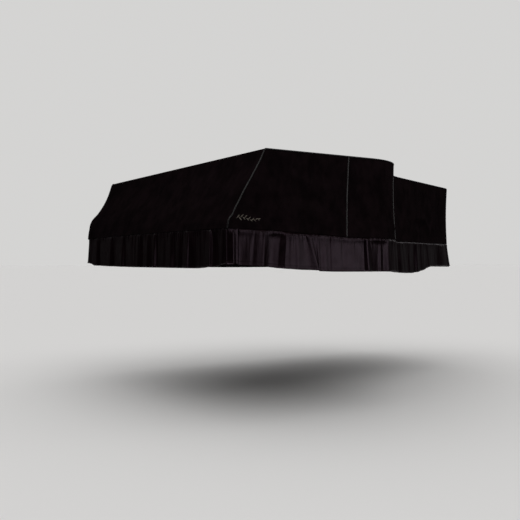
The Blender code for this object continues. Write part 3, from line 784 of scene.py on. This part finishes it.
def side_points(walked, depth, lift=0.0):
    """Points of the sides' velvet, or of what lies that far outside its middle."""
    return SIDE.points(walked, side_stand(walked, depth) + lift, TOP_Z - depth)


def beside(seam, side):
    """Edge of a panel on one side of a seam: -1 before its cord, 1 after it."""
    return lambda share: seam.top + (seam.foot - seam.top) * share + side * SEWN_REACH


def treble_front(share):
    """Front edge of the treble side, by share of its depth."""
    return edge_back(TREBLE_EDGE, share * SLOPE_DEPTH)


def bass_front(share):
    """Front edge of the bass side, by share of its depth."""
    return SIDE.length - edge_back(BASS_EDGE, share * SLOPE_DEPTH)


TREBLE_EDGE = beside_slope(1.0)
BASS_EDGE = beside_slope(0.0)
panel_starts = [treble_front, *(beside(seam, 1) for seam in SEAMS)]
panel_ends = [*(beside(seam, -1) for seam in SEAMS), bass_front]
PANEL_NAMES = ("treble", "bend", "hollow", "tail", "bass")
for name, start, end in zip(PANEL_NAMES, panel_starts, panel_ends, strict=True):
    rows = spaced(SEWN_REACH, SLOPE_DEPTH, PANEL_STEP) / SLOPE_DEPTH
    width = float(end(1.0) - start(1.0))
    across = spaced(0.0, width, PANEL_STEP)[:, None] / width
    walked = start(rows) + (end(rows) - start(rows)) * across
    depth = SEWN_REACH + (level(walked, "seam") - SEWN_REACH) * (rows - rows[0]) / (1.0 - rows[0])
    panel_grid = side_points(walked, depth)
    panel = add_cloth(f"{name}_panel", panel_grid, VELVET_THICKNESS, velvet)
    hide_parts(f"side_{name}")
    declare_sheet(panel_grid)


# --- Flounce ------------------------------------------------------------------------------
# Five strips of black satin, gathered a little and sewn behind the velvet's lower edge. They
# hang in loose folds, and their hem is turned up and stitched.
SATIN_THICKNESS = 0.0010
FLOUNCE_STEP = 0.0022
SEWN_BEHIND = 0.0022  # how far the satin lies behind the velvet where it is sewn on
HEM_DEPTH = 0.012
GATHERED_SHARE = 0.30  # share of a plain fold's depth that it has just below the seam
GATHERED_DEPTH = 0.018  # the folds open from nothing over this distance below the seam
FOLD_OPENING = 0.7  # and grow from there to the hem by this power of the way down
LEVEL_END = 0.008  # how much of each strip is unfolded at its ends
PLAIN_FOLD_PITCH = 0.084
PLAIN_FOLD_OUT = 0.008
PLAIN_FOLD_LEAN = 0.005
PLAIN_FOLD_SHIFT = 0.16  # share of the pitch by which a fold may stand off its even place
PLAIN_FOLD_LOSS = 0.2  # share of its depth by which it may be shallower, on average
PLAIN_FOLD_RATES = (2.4, 1.7, 3.1)  # how fast place, depth and lean change from fold to fold
PLAIN_FOLDS_CLEAR = 0.02  # plain folds stop that far before those placed one by one
TAIL_FOLDS_CLEAR = 1.6 * TAIL_CORNER_RADIUS
GATHER_OUT = 0.0011  # the fine gathers at the seam
GATHER_WIDTH = 0.009
GATHERS_FROM = -0.004  # distances below the seam between which the gathers begin
GATHERS_FULL = 0.004
GATHER_FADE = 0.035
WAVE_OUT = 0.0006  # the broader waves all the way down
WAVE_WIDTH = 0.022
FALL_STRETCH = 0.12  # gathers and waves change that much slower down the cloth than along it

# Where the flounce's folds turn: distance walked, how far out the cloth stands there just
# below the seam and at the hem (or in, if negative), and how far the fold leans along the
# cloth on its way down.
Turn = namedtuple("Turn", "at top out lean")
TREBLE_TURNS = (
    Turn(0.060, 0.0020, 0.0018, 0.000),
    Turn(0.088, 0.0030, 0.0034, -0.008),
    Turn(0.112, 0.0056, 0.0062, -0.010),
    Turn(0.130, 0.0070, 0.0078, -0.006),
    Turn(0.140, 0.0052, 0.0044, -0.010),
    Turn(0.151, 0.0024, 0.0002, -0.014),
    Turn(0.163, 0.0006, -0.0036, -0.014),
    Turn(0.174, -0.0010, -0.0062, -0.013),
    Turn(0.190, -0.0026, -0.0072, -0.012),
    Turn(0.207, -0.0024, -0.0060, -0.012),
    Turn(0.228, 0.0096, 0.0104, -0.016),
    Turn(0.235, 0.0096, 0.0102, -0.010),
    Turn(0.248, 0.0100, 0.0114, -0.004),
    Turn(0.262, 0.0087, 0.0095, 0.000),
    Turn(0.272, 0.0089, 0.0099, 0.002),
    Turn(0.284, 0.0073, 0.0077, 0.008),
    Turn(0.299, 0.0032, 0.0024, 0.038),
    Turn(0.328, 0.0055, 0.0067, 0.042),
    Turn(0.356, 0.0028, 0.0026, 0.020),
    Turn(0.372, 0.0031, 0.0047, 0.003),
    Turn(0.390, 0.0015, 0.0027, 0.000),
    Turn(0.404, 0.0022, 0.0036, 0.002),
    Turn(0.428, 0.0010, 0.0018, 0.003),
    Turn(0.438, 0.0018, 0.0028, 0.002),
    Turn(0.495, 0.0002, 0.0002, 0.000),
    Turn(0.520, 0.0004, 0.0012, 0.000),
    Turn(0.602, -0.0006, -0.0014, 0.002),
    Turn(0.610, 0.0034, 0.0088, 0.002),
    Turn(0.616, 0.0038, 0.0096, 0.003),
    Turn(0.623, 0.0018, 0.0070, 0.004),
    Turn(0.632, -0.0014, 0.0022, 0.004),
    Turn(0.642, -0.0028, -0.0022, 0.004),
    Turn(0.650, -0.0036, -0.0052, 0.003),
    Turn(0.684, -0.0054, -0.0124, 0.002),
    Turn(0.698, -0.0036, -0.0088, 0.001),
    Turn(0.712, -0.0042, -0.0098, 0.000),
    Turn(0.738, 0.0010, 0.0016, 0.000),
    Turn(0.746, 0.0020, 0.0030, 0.000),
    Turn(0.790, 0.0030, 0.0050, 0.000),
    Turn(0.832, 0.0056, 0.0100, -0.002),
)
TAIL_SIDE_TURNS = (
    Turn(1.366, -0.0016, -0.0030, 0.000),
    Turn(1.404, 0.0014, 0.0038, 0.000),
    Turn(1.440, 0.0010, 0.0026, 0.000),
    Turn(1.494, -0.0002, -0.0006, 0.002),
    Turn(1.512, 0.0010, 0.0016, 0.002),
    Turn(1.545, 0.0004, 0.0004, 0.000),
    Turn(1.576, -0.0012, -0.0032, 0.000),
    Turn(1.611, 0.0022, 0.0066, 0.000),
    Turn(1.650, -0.0004, -0.0010, 0.002),
    Turn(1.704, 0.0010, 0.0024, 0.002),
    Turn(1.735, 0.0004, 0.0010, 0.000),
    Turn(1.800, 0.0018, 0.0048, -0.002),
    Turn(1.858, -0.0004, -0.0004, 0.000),
    Turn(1.882, -0.0010, -0.0014, 0.002),
    Turn(1.985, 0.0060, 0.0124, 0.002),
    Turn(2.008, 0.0060, 0.0128, 0.004),
    Turn(2.044, 0.0010, 0.0034, 0.006),
    Turn(2.076, 0.0030, 0.0090, 0.008),
    Turn(2.104, -0.0010, -0.0020, 0.006),
)
# The same along the front, by the distance from its middle towards the treble side.
FRONT_TURNS = (
    Turn(-0.704, -0.0018, -0.0040, 0.000),
    Turn(-0.612, 0.0027, 0.0060, 0.000),
    Turn(-0.579, -0.0023, -0.0050, 0.003),
    Turn(-0.494, 0.0005, 0.0010, 0.000),
    Turn(-0.413, 0.0027, 0.0060, -0.003),
    Turn(-0.375, -0.0025, -0.0055, 0.002),
    Turn(-0.262, 0.0020, 0.0045, 0.000),
    Turn(-0.230, -0.0023, -0.0050, -0.004),
    Turn(-0.162, 0.0009, 0.0020, 0.002),
    Turn(-0.098, 0.0011, 0.0025, 0.000),
    Turn(-0.061, 0.0023, 0.0050, 0.000),
    Turn(-0.016, -0.0020, -0.0045, 0.002),
    Turn(0.040, 0.0014, 0.0030, 0.000),
    Turn(0.082, -0.0016, -0.0035, 0.000),
    Turn(0.116, 0.0025, 0.0055, 0.000),
    Turn(0.136, -0.0018, -0.0040, 0.001),
    Turn(0.248, -0.0005, -0.0010, 0.000),
    Turn(0.284, 0.0018, 0.0040, 0.000),
    Turn(0.322, -0.0025, -0.0055, 0.000),
    Turn(0.360, 0.0011, 0.0025, 0.003),
    Turn(0.388, -0.0007, -0.0015, 0.002),
    Turn(0.445, 0.0025, 0.0055, 0.000),
    Turn(0.452, 0.0005, 0.0010, 0.000),
    Turn(0.504, -0.0027, -0.0060, -0.002),
    Turn(0.604, 0.0006, 0.0006, 0.000),
    Turn(0.633, 0.0052, 0.0052, 0.000),
    Turn(0.6415, -0.0020, -0.0020, 0.000),
    Turn(0.678, -0.0027, -0.0060, 0.002),
    Turn(0.722, 0.0005, 0.0010, 0.000),
)
# And past the treble front corner, by the distance from its end.
CORNER_TURNS = (
    Turn(-0.008, 0.0004, 0.0006, 0.000),
    Turn(0.006, 0.0036, 0.0044, 0.000),
    Turn(0.015, 0.0062, 0.0074, 0.000),
)

# How far the satin's gathered ridge stands out, by the distance below the seam, and how far
# its hem does, by the height above its edge.
HeadPoint = namedtuple("HeadPoint", "drop out")
HEAD = (
    HeadPoint(-0.0080, 0.0000),
    HeadPoint(0.0000, 0.0000),
    HeadPoint(0.0010, 0.0006),
    HeadPoint(0.0085, 0.0040),
    HeadPoint(0.0115, 0.0042),
    HeadPoint(0.0160, 0.0036),
    HeadPoint(0.0260, 0.0022),
)
HemPoint = namedtuple("HemPoint", "rise out")
HEM = (
    HemPoint(0.000, 0.0034),
    HemPoint(0.0050, 0.0005),
    HemPoint(0.0072, 0.0004),
    HemPoint(HEM_DEPTH - 0.0025, 0.0007),
    HemPoint(HEM_DEPTH, -0.0002),
    HemPoint(HEM_DEPTH + 0.0025, 0.0004),
    HemPoint(HEM_DEPTH + 0.006, 0.0),
)

# Rows of points down each strip: distances below the seam, heights above the hem's edge, and
# how many lie between them.
HEAD_ROWS = (-0.008, -0.003, 0.0, 0.0012, 0.0024, 0.0038, 0.0055, 0.008, 0.011, 0.015)
HEM_ROWS = (0.018, 0.0155, 0.0135, 0.012, 0.0105, 0.0085, 0.006, 0.0035, 0.0015, 0.0)
MIDDLE_ROWS = 14


def plain_turns(start, end):
    """Even folds between two places, each a little different from the next."""
    count = 2 * round((end - start) / PLAIN_FOLD_PITCH)
    pitch = (end - start) / count
    turns = []
    for index in range(count):
        shift, depth, lean = (math.sin(rate * index) for rate in PLAIN_FOLD_RATES)
        at = start + pitch * (index + 0.5 + PLAIN_FOLD_SHIFT * shift)
        out = PLAIN_FOLD_OUT * (1.0 - PLAIN_FOLD_LOSS + PLAIN_FOLD_LOSS * depth)
        out = out if index % 2 else -out
        turns.append(Turn(at, GATHERED_SHARE * out, out, PLAIN_FOLD_LEAN * lean))
    return turns


def turn_knots(start, end, turns):
    """Places along a strip, how far out its cloth stands there, and how far it leans."""
    unfolded = (start, start + LEVEL_END, end - LEVEL_END, end)
    knots = [(walked, 0.0, 0.0, 0.0) for walked in unfolded]
    return np.array(sorted([*knots, *turns])).T


def flounce_points(strip, walked, drop, lift=0.0):
    """Points of a strip at distances walked and below the seam, or that far outside it."""
    height = level(walked, "hem") - level(walked, "seam")
    share = np.clip(drop / height, 0.0, 1.0)
    places, tops, outs, leans = turn_knots(strip.start, strip.end, strip.turns)
    top = smooth(walked, places, tops)
    out = smooth(walked, places, outs)
    begun = np.clip(drop / GATHERED_DEPTH, 0.0, 1.0)
    fold = top * begun + (out - top) * share**FOLD_OPENING
    lean = smooth(walked, places, leans) * share
    head = smooth(drop, column_of(HEAD, "drop"), column_of(HEAD, "out"))
    head = strip.ridge * head - SEWN_BEHIND
    hem = smooth(height - drop, column_of(HEM, "rise"), column_of(HEM, "out"))
    spots = np.stack(np.broadcast_arrays(walked, FALL_STRETCH * drop), axis=-1)
    gathers = GATHER_OUT * rough(spots, GATHER_WIDTH, seed=2.0)
    gathers *= np.exp(-np.clip(drop, 0.0, 1.0) / GATHER_FADE)
    gathers += WAVE_OUT * rough(spots, WAVE_WIDTH, seed=8.0)
    gathers *= np.clip((drop - GATHERS_FROM) / (GATHERS_FULL - GATHERS_FROM), 0.0, 1.0)
    base = level(walked, "out") + level(walked, "flare") * share
    stand = base + fold + head + hem + gathers + lift
    return FLOUNCE.points(walked + lean, stand, TOP_Z - level(walked, "seam") - drop)


def weave_group():
    """Satin's weave: fine floats along the cloth, slubs, soft creasing, and rubbed places."""
    sizes = {
        "Vector": ("NodeSocketVector", None),
        "Thread Scale": ("NodeSocketFloat", 1400.0),
        "Crinkle Scale": ("NodeSocketFloat", 60.0),
        "Rub Scale": ("NodeSocketFloat", 16.0),
    }
    outputs = dict.fromkeys(("Height", "Crinkle", "Shade"), "NodeSocketFloat")
    group, given, result = node_group("ShaderNodeTree", "weave", sizes, outputs)
    vector, thread_scale, crinkle_scale, rub_scale = given.outputs[:4]
    inputs = {0: vector, 1: (1.0, 0.12, 1.0)}
    drawn = add_node(group, "ShaderNodeVectorMath", inputs, operation="MULTIPLY").outputs[0]
    floats = spread(group, add_noise(group, drawn, thread_scale, detail=2.0), low=0.3, high=0.7)
    crinkle = add_noise(group, drawn, crinkle_scale, detail=3.0, roughness=0.55)
    rubbed = add_noise(group, vector, rub_scale, detail=3.0, roughness=0.6)
    rubbed = spread(group, rubbed, low=0.35, high=0.70)
    group.links.new(floats, result.inputs["Height"])
    group.links.new(crinkle, result.inputs["Crinkle"])
    group.links.new(rubbed, result.inputs["Shade"])
    return group


def satin_material(name, place, shades, roughness, crinkle_depth, **finish):
    """Black satin with a soft sheen, its weave and its creasing in its relief."""
    material, tree, shader, threads = new_material(name, place, weave, shades, **finish)
    rubbed = spread(tree, threads.outputs["Shade"], 0.0, 1.0, *roughness)
    tree.links.new(rubbed, shader.inputs["Roughness"])
    crinkled = relief(tree, threads.outputs["Crinkle"], strength=0.5, distance=crinkle_depth)
    floats = threads.outputs["Height"]
    woven = relief(tree, floats, strength=0.25, distance=0.0002, under=crinkled)
    tree.links.new(woven, shader.inputs["Normal"])
    return material


weave = weave_group()
satin = satin_material(
    "satin",
    "UV",
    shades=((0.0034, 0.0007, 0.0011), (0.0058, 0.0013, 0.0020)),
    roughness=(0.30, 0.38),
    crinkle_depth=0.0010,
    Specular_IOR_Level=0.36,
    Specular_Tint=(1.0, 0.70, 0.91, 1.0),
)
bend_foot, tail_foot, bass_foot = (seam.foot for seam in SEAMS[1:])
bass_end = SIDE.length - CORNER_WRAP
front_end = FLOUNCE_END + CORNER_WRAP - FLOUNCE_START
hollow_turns = plain_turns(bend_foot + LEVEL_END, TAIL_SIDE_TURNS[0].at - PLAIN_FOLDS_CLEAR)
hollow_turns += TAIL_SIDE_TURNS
tail_turns = plain_turns(tail_foot + LEVEL_END, BASS_RUN_START - TAIL_FOLDS_CLEAR)
bass_turns = plain_turns(bass_foot + LEVEL_END, bass_end - LEVEL_END)
front_turns = [turn._replace(at=FRONT_MIDDLE + turn.at) for turn in FRONT_TURNS]
front_turns += [turn._replace(at=FLOUNCE_END + turn.at) for turn in CORNER_TURNS]

# The strips, each with the panel that it hangs from and how high its gathered ridge is.
Strip = namedtuple("Strip", "name start end turns ridge hangs_from")
STRIPS = (
    Strip("treble", CORNER_WRAP, bend_foot, TREBLE_TURNS, 1.4, "treble_panel"),
    Strip("hollow", bend_foot, tail_foot, hollow_turns, 1.0, "hollow_panel"),
    Strip("tail", tail_foot, bass_foot, tail_turns, 1.0, "tail_panel"),
    Strip("bass", bass_foot, bass_end, bass_turns, 1.0, "bass_panel"),
    Strip("front", bass_end, front_end, front_turns, 0.3, "treble_panel"),
)
for strip in STRIPS:
    walked = spaced(strip.start, strip.end, FLOUNCE_STEP)[:, None]
    height = level(walked, "hem") - level(walked, "seam")
    top_rows = np.broadcast_to(HEAD_ROWS, (len(walked), len(HEAD_ROWS)))
    low_rows = height - np.array(HEM_ROWS)
    steps = np.linspace(0.0, 1.0, MIDDLE_ROWS + 2)[1:-1]
    middle_rows = HEAD_ROWS[-1] + (height - HEM_ROWS[0] - HEAD_ROWS[-1]) * steps
    drop = np.concatenate([top_rows, middle_rows, low_rows], axis=1)
    strip_grid = flounce_points(strip, walked, drop)
    piece = add_cloth(f"{strip.name}_flounce", strip_grid, SATIN_THICKNESS, satin)
    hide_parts(f"flounce_{strip.name}")
    declare_sheet(strip_grid)


# --- Piping -------------------------------------------------------------------------------
# Cotton cord in a bias strip of black satin, sewn into the seams: one length up the treble
# slope, round the lid and down the bass slope, and one in each upright seam.
PIPING_STEP = 0.0035
PIPING_SIDES = 10
PIPING_CREASE = 0.0003
PIPING_CREASE_SCALE = 240.0
TUCKED_END = 0.004  # how far the cord's ends are turned in above the flounce
UPRIGHT_POINTS = 40
RIM_POINTS = 1200


def given_parts(given):
    """The inputs of a group by name."""
    return {socket.name: socket for socket in given.outputs}


def finish_shape(tree, shape, material, result):
    """Smooths a shape, makes its instances real and gives it its material."""
    rounded = add_node(tree, "GeometryNodeSetShadeSmooth", {"Geometry": shape.outputs[0]})
    real = add_node(tree, "GeometryNodeRealizeInstances", {"Geometry": rounded.outputs[0]})
    dressed = {"Geometry": real.outputs[0], "Material": material}
    dressed = add_node(tree, "GeometryNodeSetMaterial", dressed)
    tree.links.new(dressed.outputs[0], result.inputs[0])


def covered_cord():
    """Makes a line of points a round cord, its cover creased a little round it."""
    sizes = {
        "Line": ("NodeSocketGeometry", None),
        "Radius": ("NodeSocketFloat", PIPING_RADIUS),
        "Step": ("NodeSocketFloat", PIPING_STEP),
        "Sides": ("NodeSocketInt", PIPING_SIDES),
        "Crease": ("NodeSocketFloat", PIPING_CREASE),
        "Material": ("NodeSocketMaterial", None),
    }
    outputs = {"Cord": "NodeSocketGeometry"}
    tree, given, result = node_group("GeometryNodeTree", "covered_cord", sizes, outputs)
    given = given_parts(given)
    line = add_node(tree, "GeometryNodeMeshToCurve", {"Mesh": given["Line"]})
    steps = {"Curve": line.outputs[0], "Length": given["Step"]}
    even = add_node(tree, "GeometryNodeResampleCurve", steps, mode="LENGTH")
    round_of = {"Resolution": given["Sides"], "Radius": given["Radius"]}
    ring = add_node(tree, "GeometryNodeCurvePrimitiveCircle", round_of)
    parts = {"Curve": even.outputs[0], "Profile Curve": ring.outputs[0], "Fill Caps": True}
    tube = add_node(tree, "GeometryNodeCurveToMesh", parts)
    creases = {"Scale": PIPING_CREASE_SCALE, "Detail": 1.0}
    creases = add_node(tree, "ShaderNodeTexNoise", creases)
    depth = {0: creases.outputs["Fac"], 1: given["Crease"]}
    depth = add_node(tree, "ShaderNodeMath", depth, operation="MULTIPLY")
    normal = add_node(tree, "GeometryNodeInputNormal", {})
    offset = {0: normal.outputs[0], "Scale": depth.outputs[0]}
    offset = add_node(tree, "ShaderNodeVectorMath", offset, operation="SCALE")
    moved = {"Geometry": tube.outputs[0], "Offset": offset.outputs[0]}
    moved = add_node(tree, "GeometryNodeSetPosition", moved)
    finish_shape(tree, moved, given["Material"], result)
    return tree


def made_by(name, mesh, tree, values):
    """The plain mesh that geometry nodes make from a mesh, with values for their inputs."""
    maker = bpy.data.objects.new(name, mesh)
    bpy.context.scene.collection.objects.link(maker)
    modifier = maker.modifiers.new(name, "NODES")
    modifier.node_group = tree
    for item in tree.interface.items_tree:
        if item.in_out == "INPUT" and item.name in values:
            modifier[item.identifier] = values[item.name]
    return plain_mesh(name, maker)


def line_mesh(name, points):
    """A mesh of points joined one after the other."""
    mesh = bpy.data.meshes.new(name)
    mesh.from_pydata(points.tolist(), [(i, i + 1) for i in range(len(points) - 1)], [])
    return mesh


def slope_line(x, treble_share):
    """The cord's line on the slope, from the flounce up to the lid."""
    depths = np.linspace(SLOPE_DEPTH, 0.0, UPRIGHT_POINTS)
    y = FRONT_Y + slope_back(depths, treble_share)
    line = np.stack([np.full_like(depths, x), y, TOP_Z - depths], axis=-1)
    tucked = line[0] + (-math.copysign(TUCKED_END, x), TUCKED_END, -TUCKED_END)
    return np.concatenate([[tucked], line])


# Two copies of the same cord satin with light and shade painted into them: the lid's cord gets
# darker shades and less specular, which paints shade on it, and the upright cords get lighter
# shades and more specular, which paints light on them.
CordPaintedLight = namedtuple("CordPaintedLight", "dark light specular")
CORD_PAINTED_LIGHT = {
    "lid": CordPaintedLight((0.010, 0.0088, 0.0092), (0.018, 0.0162, 0.0168), 0.38),
    "upright": CordPaintedLight((0.030, 0.0265, 0.0275), (0.050, 0.0450, 0.0465), 0.95),
}
cord_materials = {}
for name, finish in CORD_PAINTED_LIGHT.items():
    cord_materials[name] = satin_material(
        f"{name}_cord_satin",
        "Object",
        shades=(finish.dark, finish.light),
        roughness=(0.22, 0.32),
        crinkle_depth=0.0004,
        Specular_IOR_Level=finish.specular,
        Sheen_Weight=0.03,
        Sheen_Roughness=0.35,
    )
cord_tree = covered_cord()
rim_walk = np.linspace(SLOPE[0].treble, SIDE.length - SLOPE[0].bass, RIM_POINTS)
treble_line = slope_line(HALF_WIDTH, 1.0)[:-1]
bass_line = slope_line(-HALF_WIDTH, 0.0)[:-1]
rim_line = SIDE.points(rim_walk, 0.0, TOP_Z)
cord_lines = {"lid": np.concatenate([treble_line, rim_line, bass_line[::-1]])}
for seam in SEAMS:
    share = np.linspace(0.0, 1.0, UPRIGHT_POINTS)
    walked = seam.top + (seam.foot - seam.top) * share
    depth = PIPING_RADIUS + (level(walked, "seam") - PIPING_RADIUS) * share
    stand = side_base(walked, depth)
    seam_line = SIDE.points(walked, stand, TOP_Z - depth)
    tucked = SIDE.points(walked[-1], stand[-1] - TUCKED_END, TOP_Z - depth[-1] - TUCKED_END)
    cord_lines[seam.name] = np.concatenate([seam_line, [tucked]])
for name, points in cord_lines.items():
    # The lid's cord takes the copy with painted shade, and the upright cords the copy with
    # painted light.
    material = cord_materials["lid" if name == "lid" else "upright"]
    made = made_by(f"{name}_cord", line_mesh(name, points), cord_tree, {"Material": material})
    cord = new_piece(f"{name}_cord", made)
    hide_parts(f"piping_{name}")


# --- Hem stitching ------------------------------------------------------------------------
# Black polyester thread, one row of machine stitches along the turned-up hem of each strip.
STITCH_LENGTH = 0.0032
STITCH_PITCH = 0.0041
THREAD_THICKNESS = 0.0005
STITCH_SIDES = 6


def stitching():
    """Makes a rounded stitch at each point, as long as its thread attribute and along it."""
    sizes = {
        "Points": ("NodeSocketGeometry", None),
        "Thickness": ("NodeSocketFloat", THREAD_THICKNESS),
        "Sides": ("NodeSocketInt", STITCH_SIDES),
        "Material": ("NodeSocketMaterial", None),
    }
    outputs = {"Stitches": "NodeSocketGeometry"}
    tree, given, result = node_group("GeometryNodeTree", "stitching", sizes, outputs)
    given = given_parts(given)
    kind = "GeometryNodeInputNamedAttribute"
    span = add_node(tree, kind, {"Name": "thread"}, data_type="FLOAT_VECTOR").outputs[0]
    length = add_node(tree, "ShaderNodeVectorMath", {0: span}, operation="LENGTH")
    turned = add_node(tree, "FunctionNodeAlignRotationToVector", {"Vector": span}, axis="X")
    round_of = {"Segments": given["Sides"], "Rings": given["Sides"], "Radius": 0.5}
    bead = add_node(tree, "GeometryNodeMeshUVSphere", round_of)
    size = {"X": length.outputs["Value"], "Y": given["Thickness"], "Z": given["Thickness"]}
    size = add_node(tree, "ShaderNodeCombineXYZ", size)
    placed = {
        "Points": given["Points"],
        "Instance": bead.outputs["Mesh"],
        "Rotation": turned.outputs[0],
        "Scale": size.outputs[0],
    }
    placed = add_node(tree, "GeometryNodeInstanceOnPoints", placed)
    finish_shape(tree, placed, given["Material"], result)
    return tree


def add_stitches(name, starts, ends, values):
    """A piece of stitches from starts to ends."""
    mesh = bpy.data.meshes.new(name)
    mesh.from_pydata(((starts + ends) / 2.0).tolist(), [], [])
    threads = mesh.attributes.new("thread", "FLOAT_VECTOR", "POINT")
    threads.data.foreach_set("vector", (ends - starts).ravel())
    return new_piece(name, made_by(name, mesh, stitch_tree, values))


def thread_group():
    """Thread: its twist, and a little fuzz in its shade."""
    sizes = {"Vector": ("NodeSocketVector", None), "Twist Scale": ("NodeSocketFloat", 1500.0)}
    outputs = dict.fromkeys(("Shade", "Height"), "NodeSocketFloat")
    group, given, result = node_group("ShaderNodeTree", "thread", sizes, outputs)
    vector, twist_scale = given.outputs[:2]
    fuzz = add_noise(group, vector, scale=500.0, detail=2.0)
    inputs = {"Vector": vector, "Scale": twist_scale, "Distortion": 1.0}
    twist = add_node(group, "ShaderNodeTexWave", inputs, bands_direction="DIAGONAL")
    group.links.new(spread(group, fuzz, low=0.3, high=0.7), result.inputs["Shade"])
    group.links.new(twist.outputs["Fac"], result.inputs["Height"])
    return group


def thread_material(name, shades, **finish):
    """Twisted thread."""
    material, tree, shader, twist = new_material(name, "Object", thread, shades, **finish)
    turns = relief(tree, twist.outputs["Height"], strength=0.4, distance=0.0001)
    tree.links.new(turns, shader.inputs["Normal"])
    return material


thread = thread_group()
stitch_tree = stitching()
black_thread = thread_material(
    "black_thread",
    shades=((0.004, 0.003, 0.004), (0.009, 0.008, 0.009)),
    Roughness=0.5,
    Specular_IOR_Level=0.3,
)
for strip in STRIPS:
    count = round((strip.end - strip.start) / STITCH_PITCH)
    middles = np.linspace(strip.start + STITCH_PITCH, strip.end - STITCH_PITCH, count)
    ends = []
    for walked in (middles - STITCH_LENGTH / 2, middles + STITCH_LENGTH / 2):
        drop = level(walked, "hem") - level(walked, "seam") - HEM_DEPTH
        ends.append(flounce_points(strip, walked, drop, SATIN_THICKNESS / 2))
    add_stitches(f"{strip.name}_hem_stitches", *ends, {"Material": black_thread})


# --- Embroidered sprig --------------------------------------------------------------------
# A small sprig of leaves in pale gold thread, worked by machine on the treble panel just
# behind its front corner: a stem in short stitches and leaves in satin stitch.
SPRIG_START = 0.014
SPRIG_LENGTH = 0.094
SPRIG_DEPTH = 0.259
STEM_SWAY = 0.0045
STEM_STITCHES = 34
LEAF_COUNT = 12
FIRST_LEAF = 0.7  # place of the first leaf, as a share of the leaves' spacing
LEAF_LENGTH = 0.017
LEAF_WIDTH = 0.0062
LEAF_FULLNESS = 0.8  # power of the sine that a leaf's width follows
LEAF_STITCHES = 13
LEAF_SLANT = 1.1  # angle from a leaf's vein to the stitches across it
LEAF_TURN = 48.0  # degrees from the stem at its foot, and how much less it is at its tip
LEAF_TURN_LOSS = 20.0
LEAF_SIZE_LOSS = 0.45
END_LEAF = 0.6  # size of the leaf at the stem's tip
GOLD_THICKNESS = 0.0011


def stem_place(share):
    """Places along the sprig's stem, on the cloth laid flat."""
    rise = STEM_SWAY * np.sin(2.0 * math.pi * share)
    return np.stack([SPRIG_START + SPRIG_LENGTH * share, SPRIG_DEPTH - rise], axis=-1)


def leaf_stitches(root, turn, length, width):
    """Starts and ends of the stitches across a leaf, on the cloth laid flat."""
    share = (np.arange(LEAF_STITCHES) + 0.5) / LEAF_STITCHES
    half = 0.5 * width * np.sin(math.pi * share) ** LEAF_FULLNESS
    vein = np.array([math.cos(turn), math.sin(turn)])
    across = np.array([math.cos(turn + LEAF_SLANT), math.sin(turn + LEAF_SLANT)])
    middles = root + vein * (length * share)[:, None]
    return middles - across * half[:, None], middles + across * half[:, None]


stem = stem_place(np.linspace(0.0, 1.0, STEM_STITCHES + 1))
gold_starts, gold_ends = [stem[:-1]], [stem[1:]]
for index in range(LEAF_COUNT):
    share = (index + FIRST_LEAF) / LEAF_COUNT
    turn = math.radians(LEAF_TURN - LEAF_TURN_LOSS * share) * (1 if index % 2 else -1)
    size = 1.0 - LEAF_SIZE_LOSS * share
    starts, ends = leaf_stitches(stem_place(share), turn, LEAF_LENGTH * size, LEAF_WIDTH * size)
    gold_starts.append(starts)
    gold_ends.append(ends)
starts, ends = leaf_stitches(stem_place(1.0), 0.0, LEAF_LENGTH * END_LEAF, LEAF_WIDTH * END_LEAF)
flat_starts = np.concatenate([*gold_starts, starts])
flat_ends = np.concatenate([*gold_ends, ends])
on_pile = VELVET_THICKNESS / 2 + GOLD_THICKNESS / 4
gold_thread = thread_material(
    "gold_thread",
    shades=((0.22, 0.190, 0.155), (0.46, 0.410, 0.350)),
    Roughness=0.42,
    Metallic=0.35,
)
add_stitches(
    "embroidered_sprig",
    side_points(flat_starts[:, 0], flat_starts[:, 1], on_pile),
    side_points(flat_ends[:, 0], flat_ends[:, 1], on_pile),
    {"Thickness": GOLD_THICKNESS, "Material": gold_thread},
)
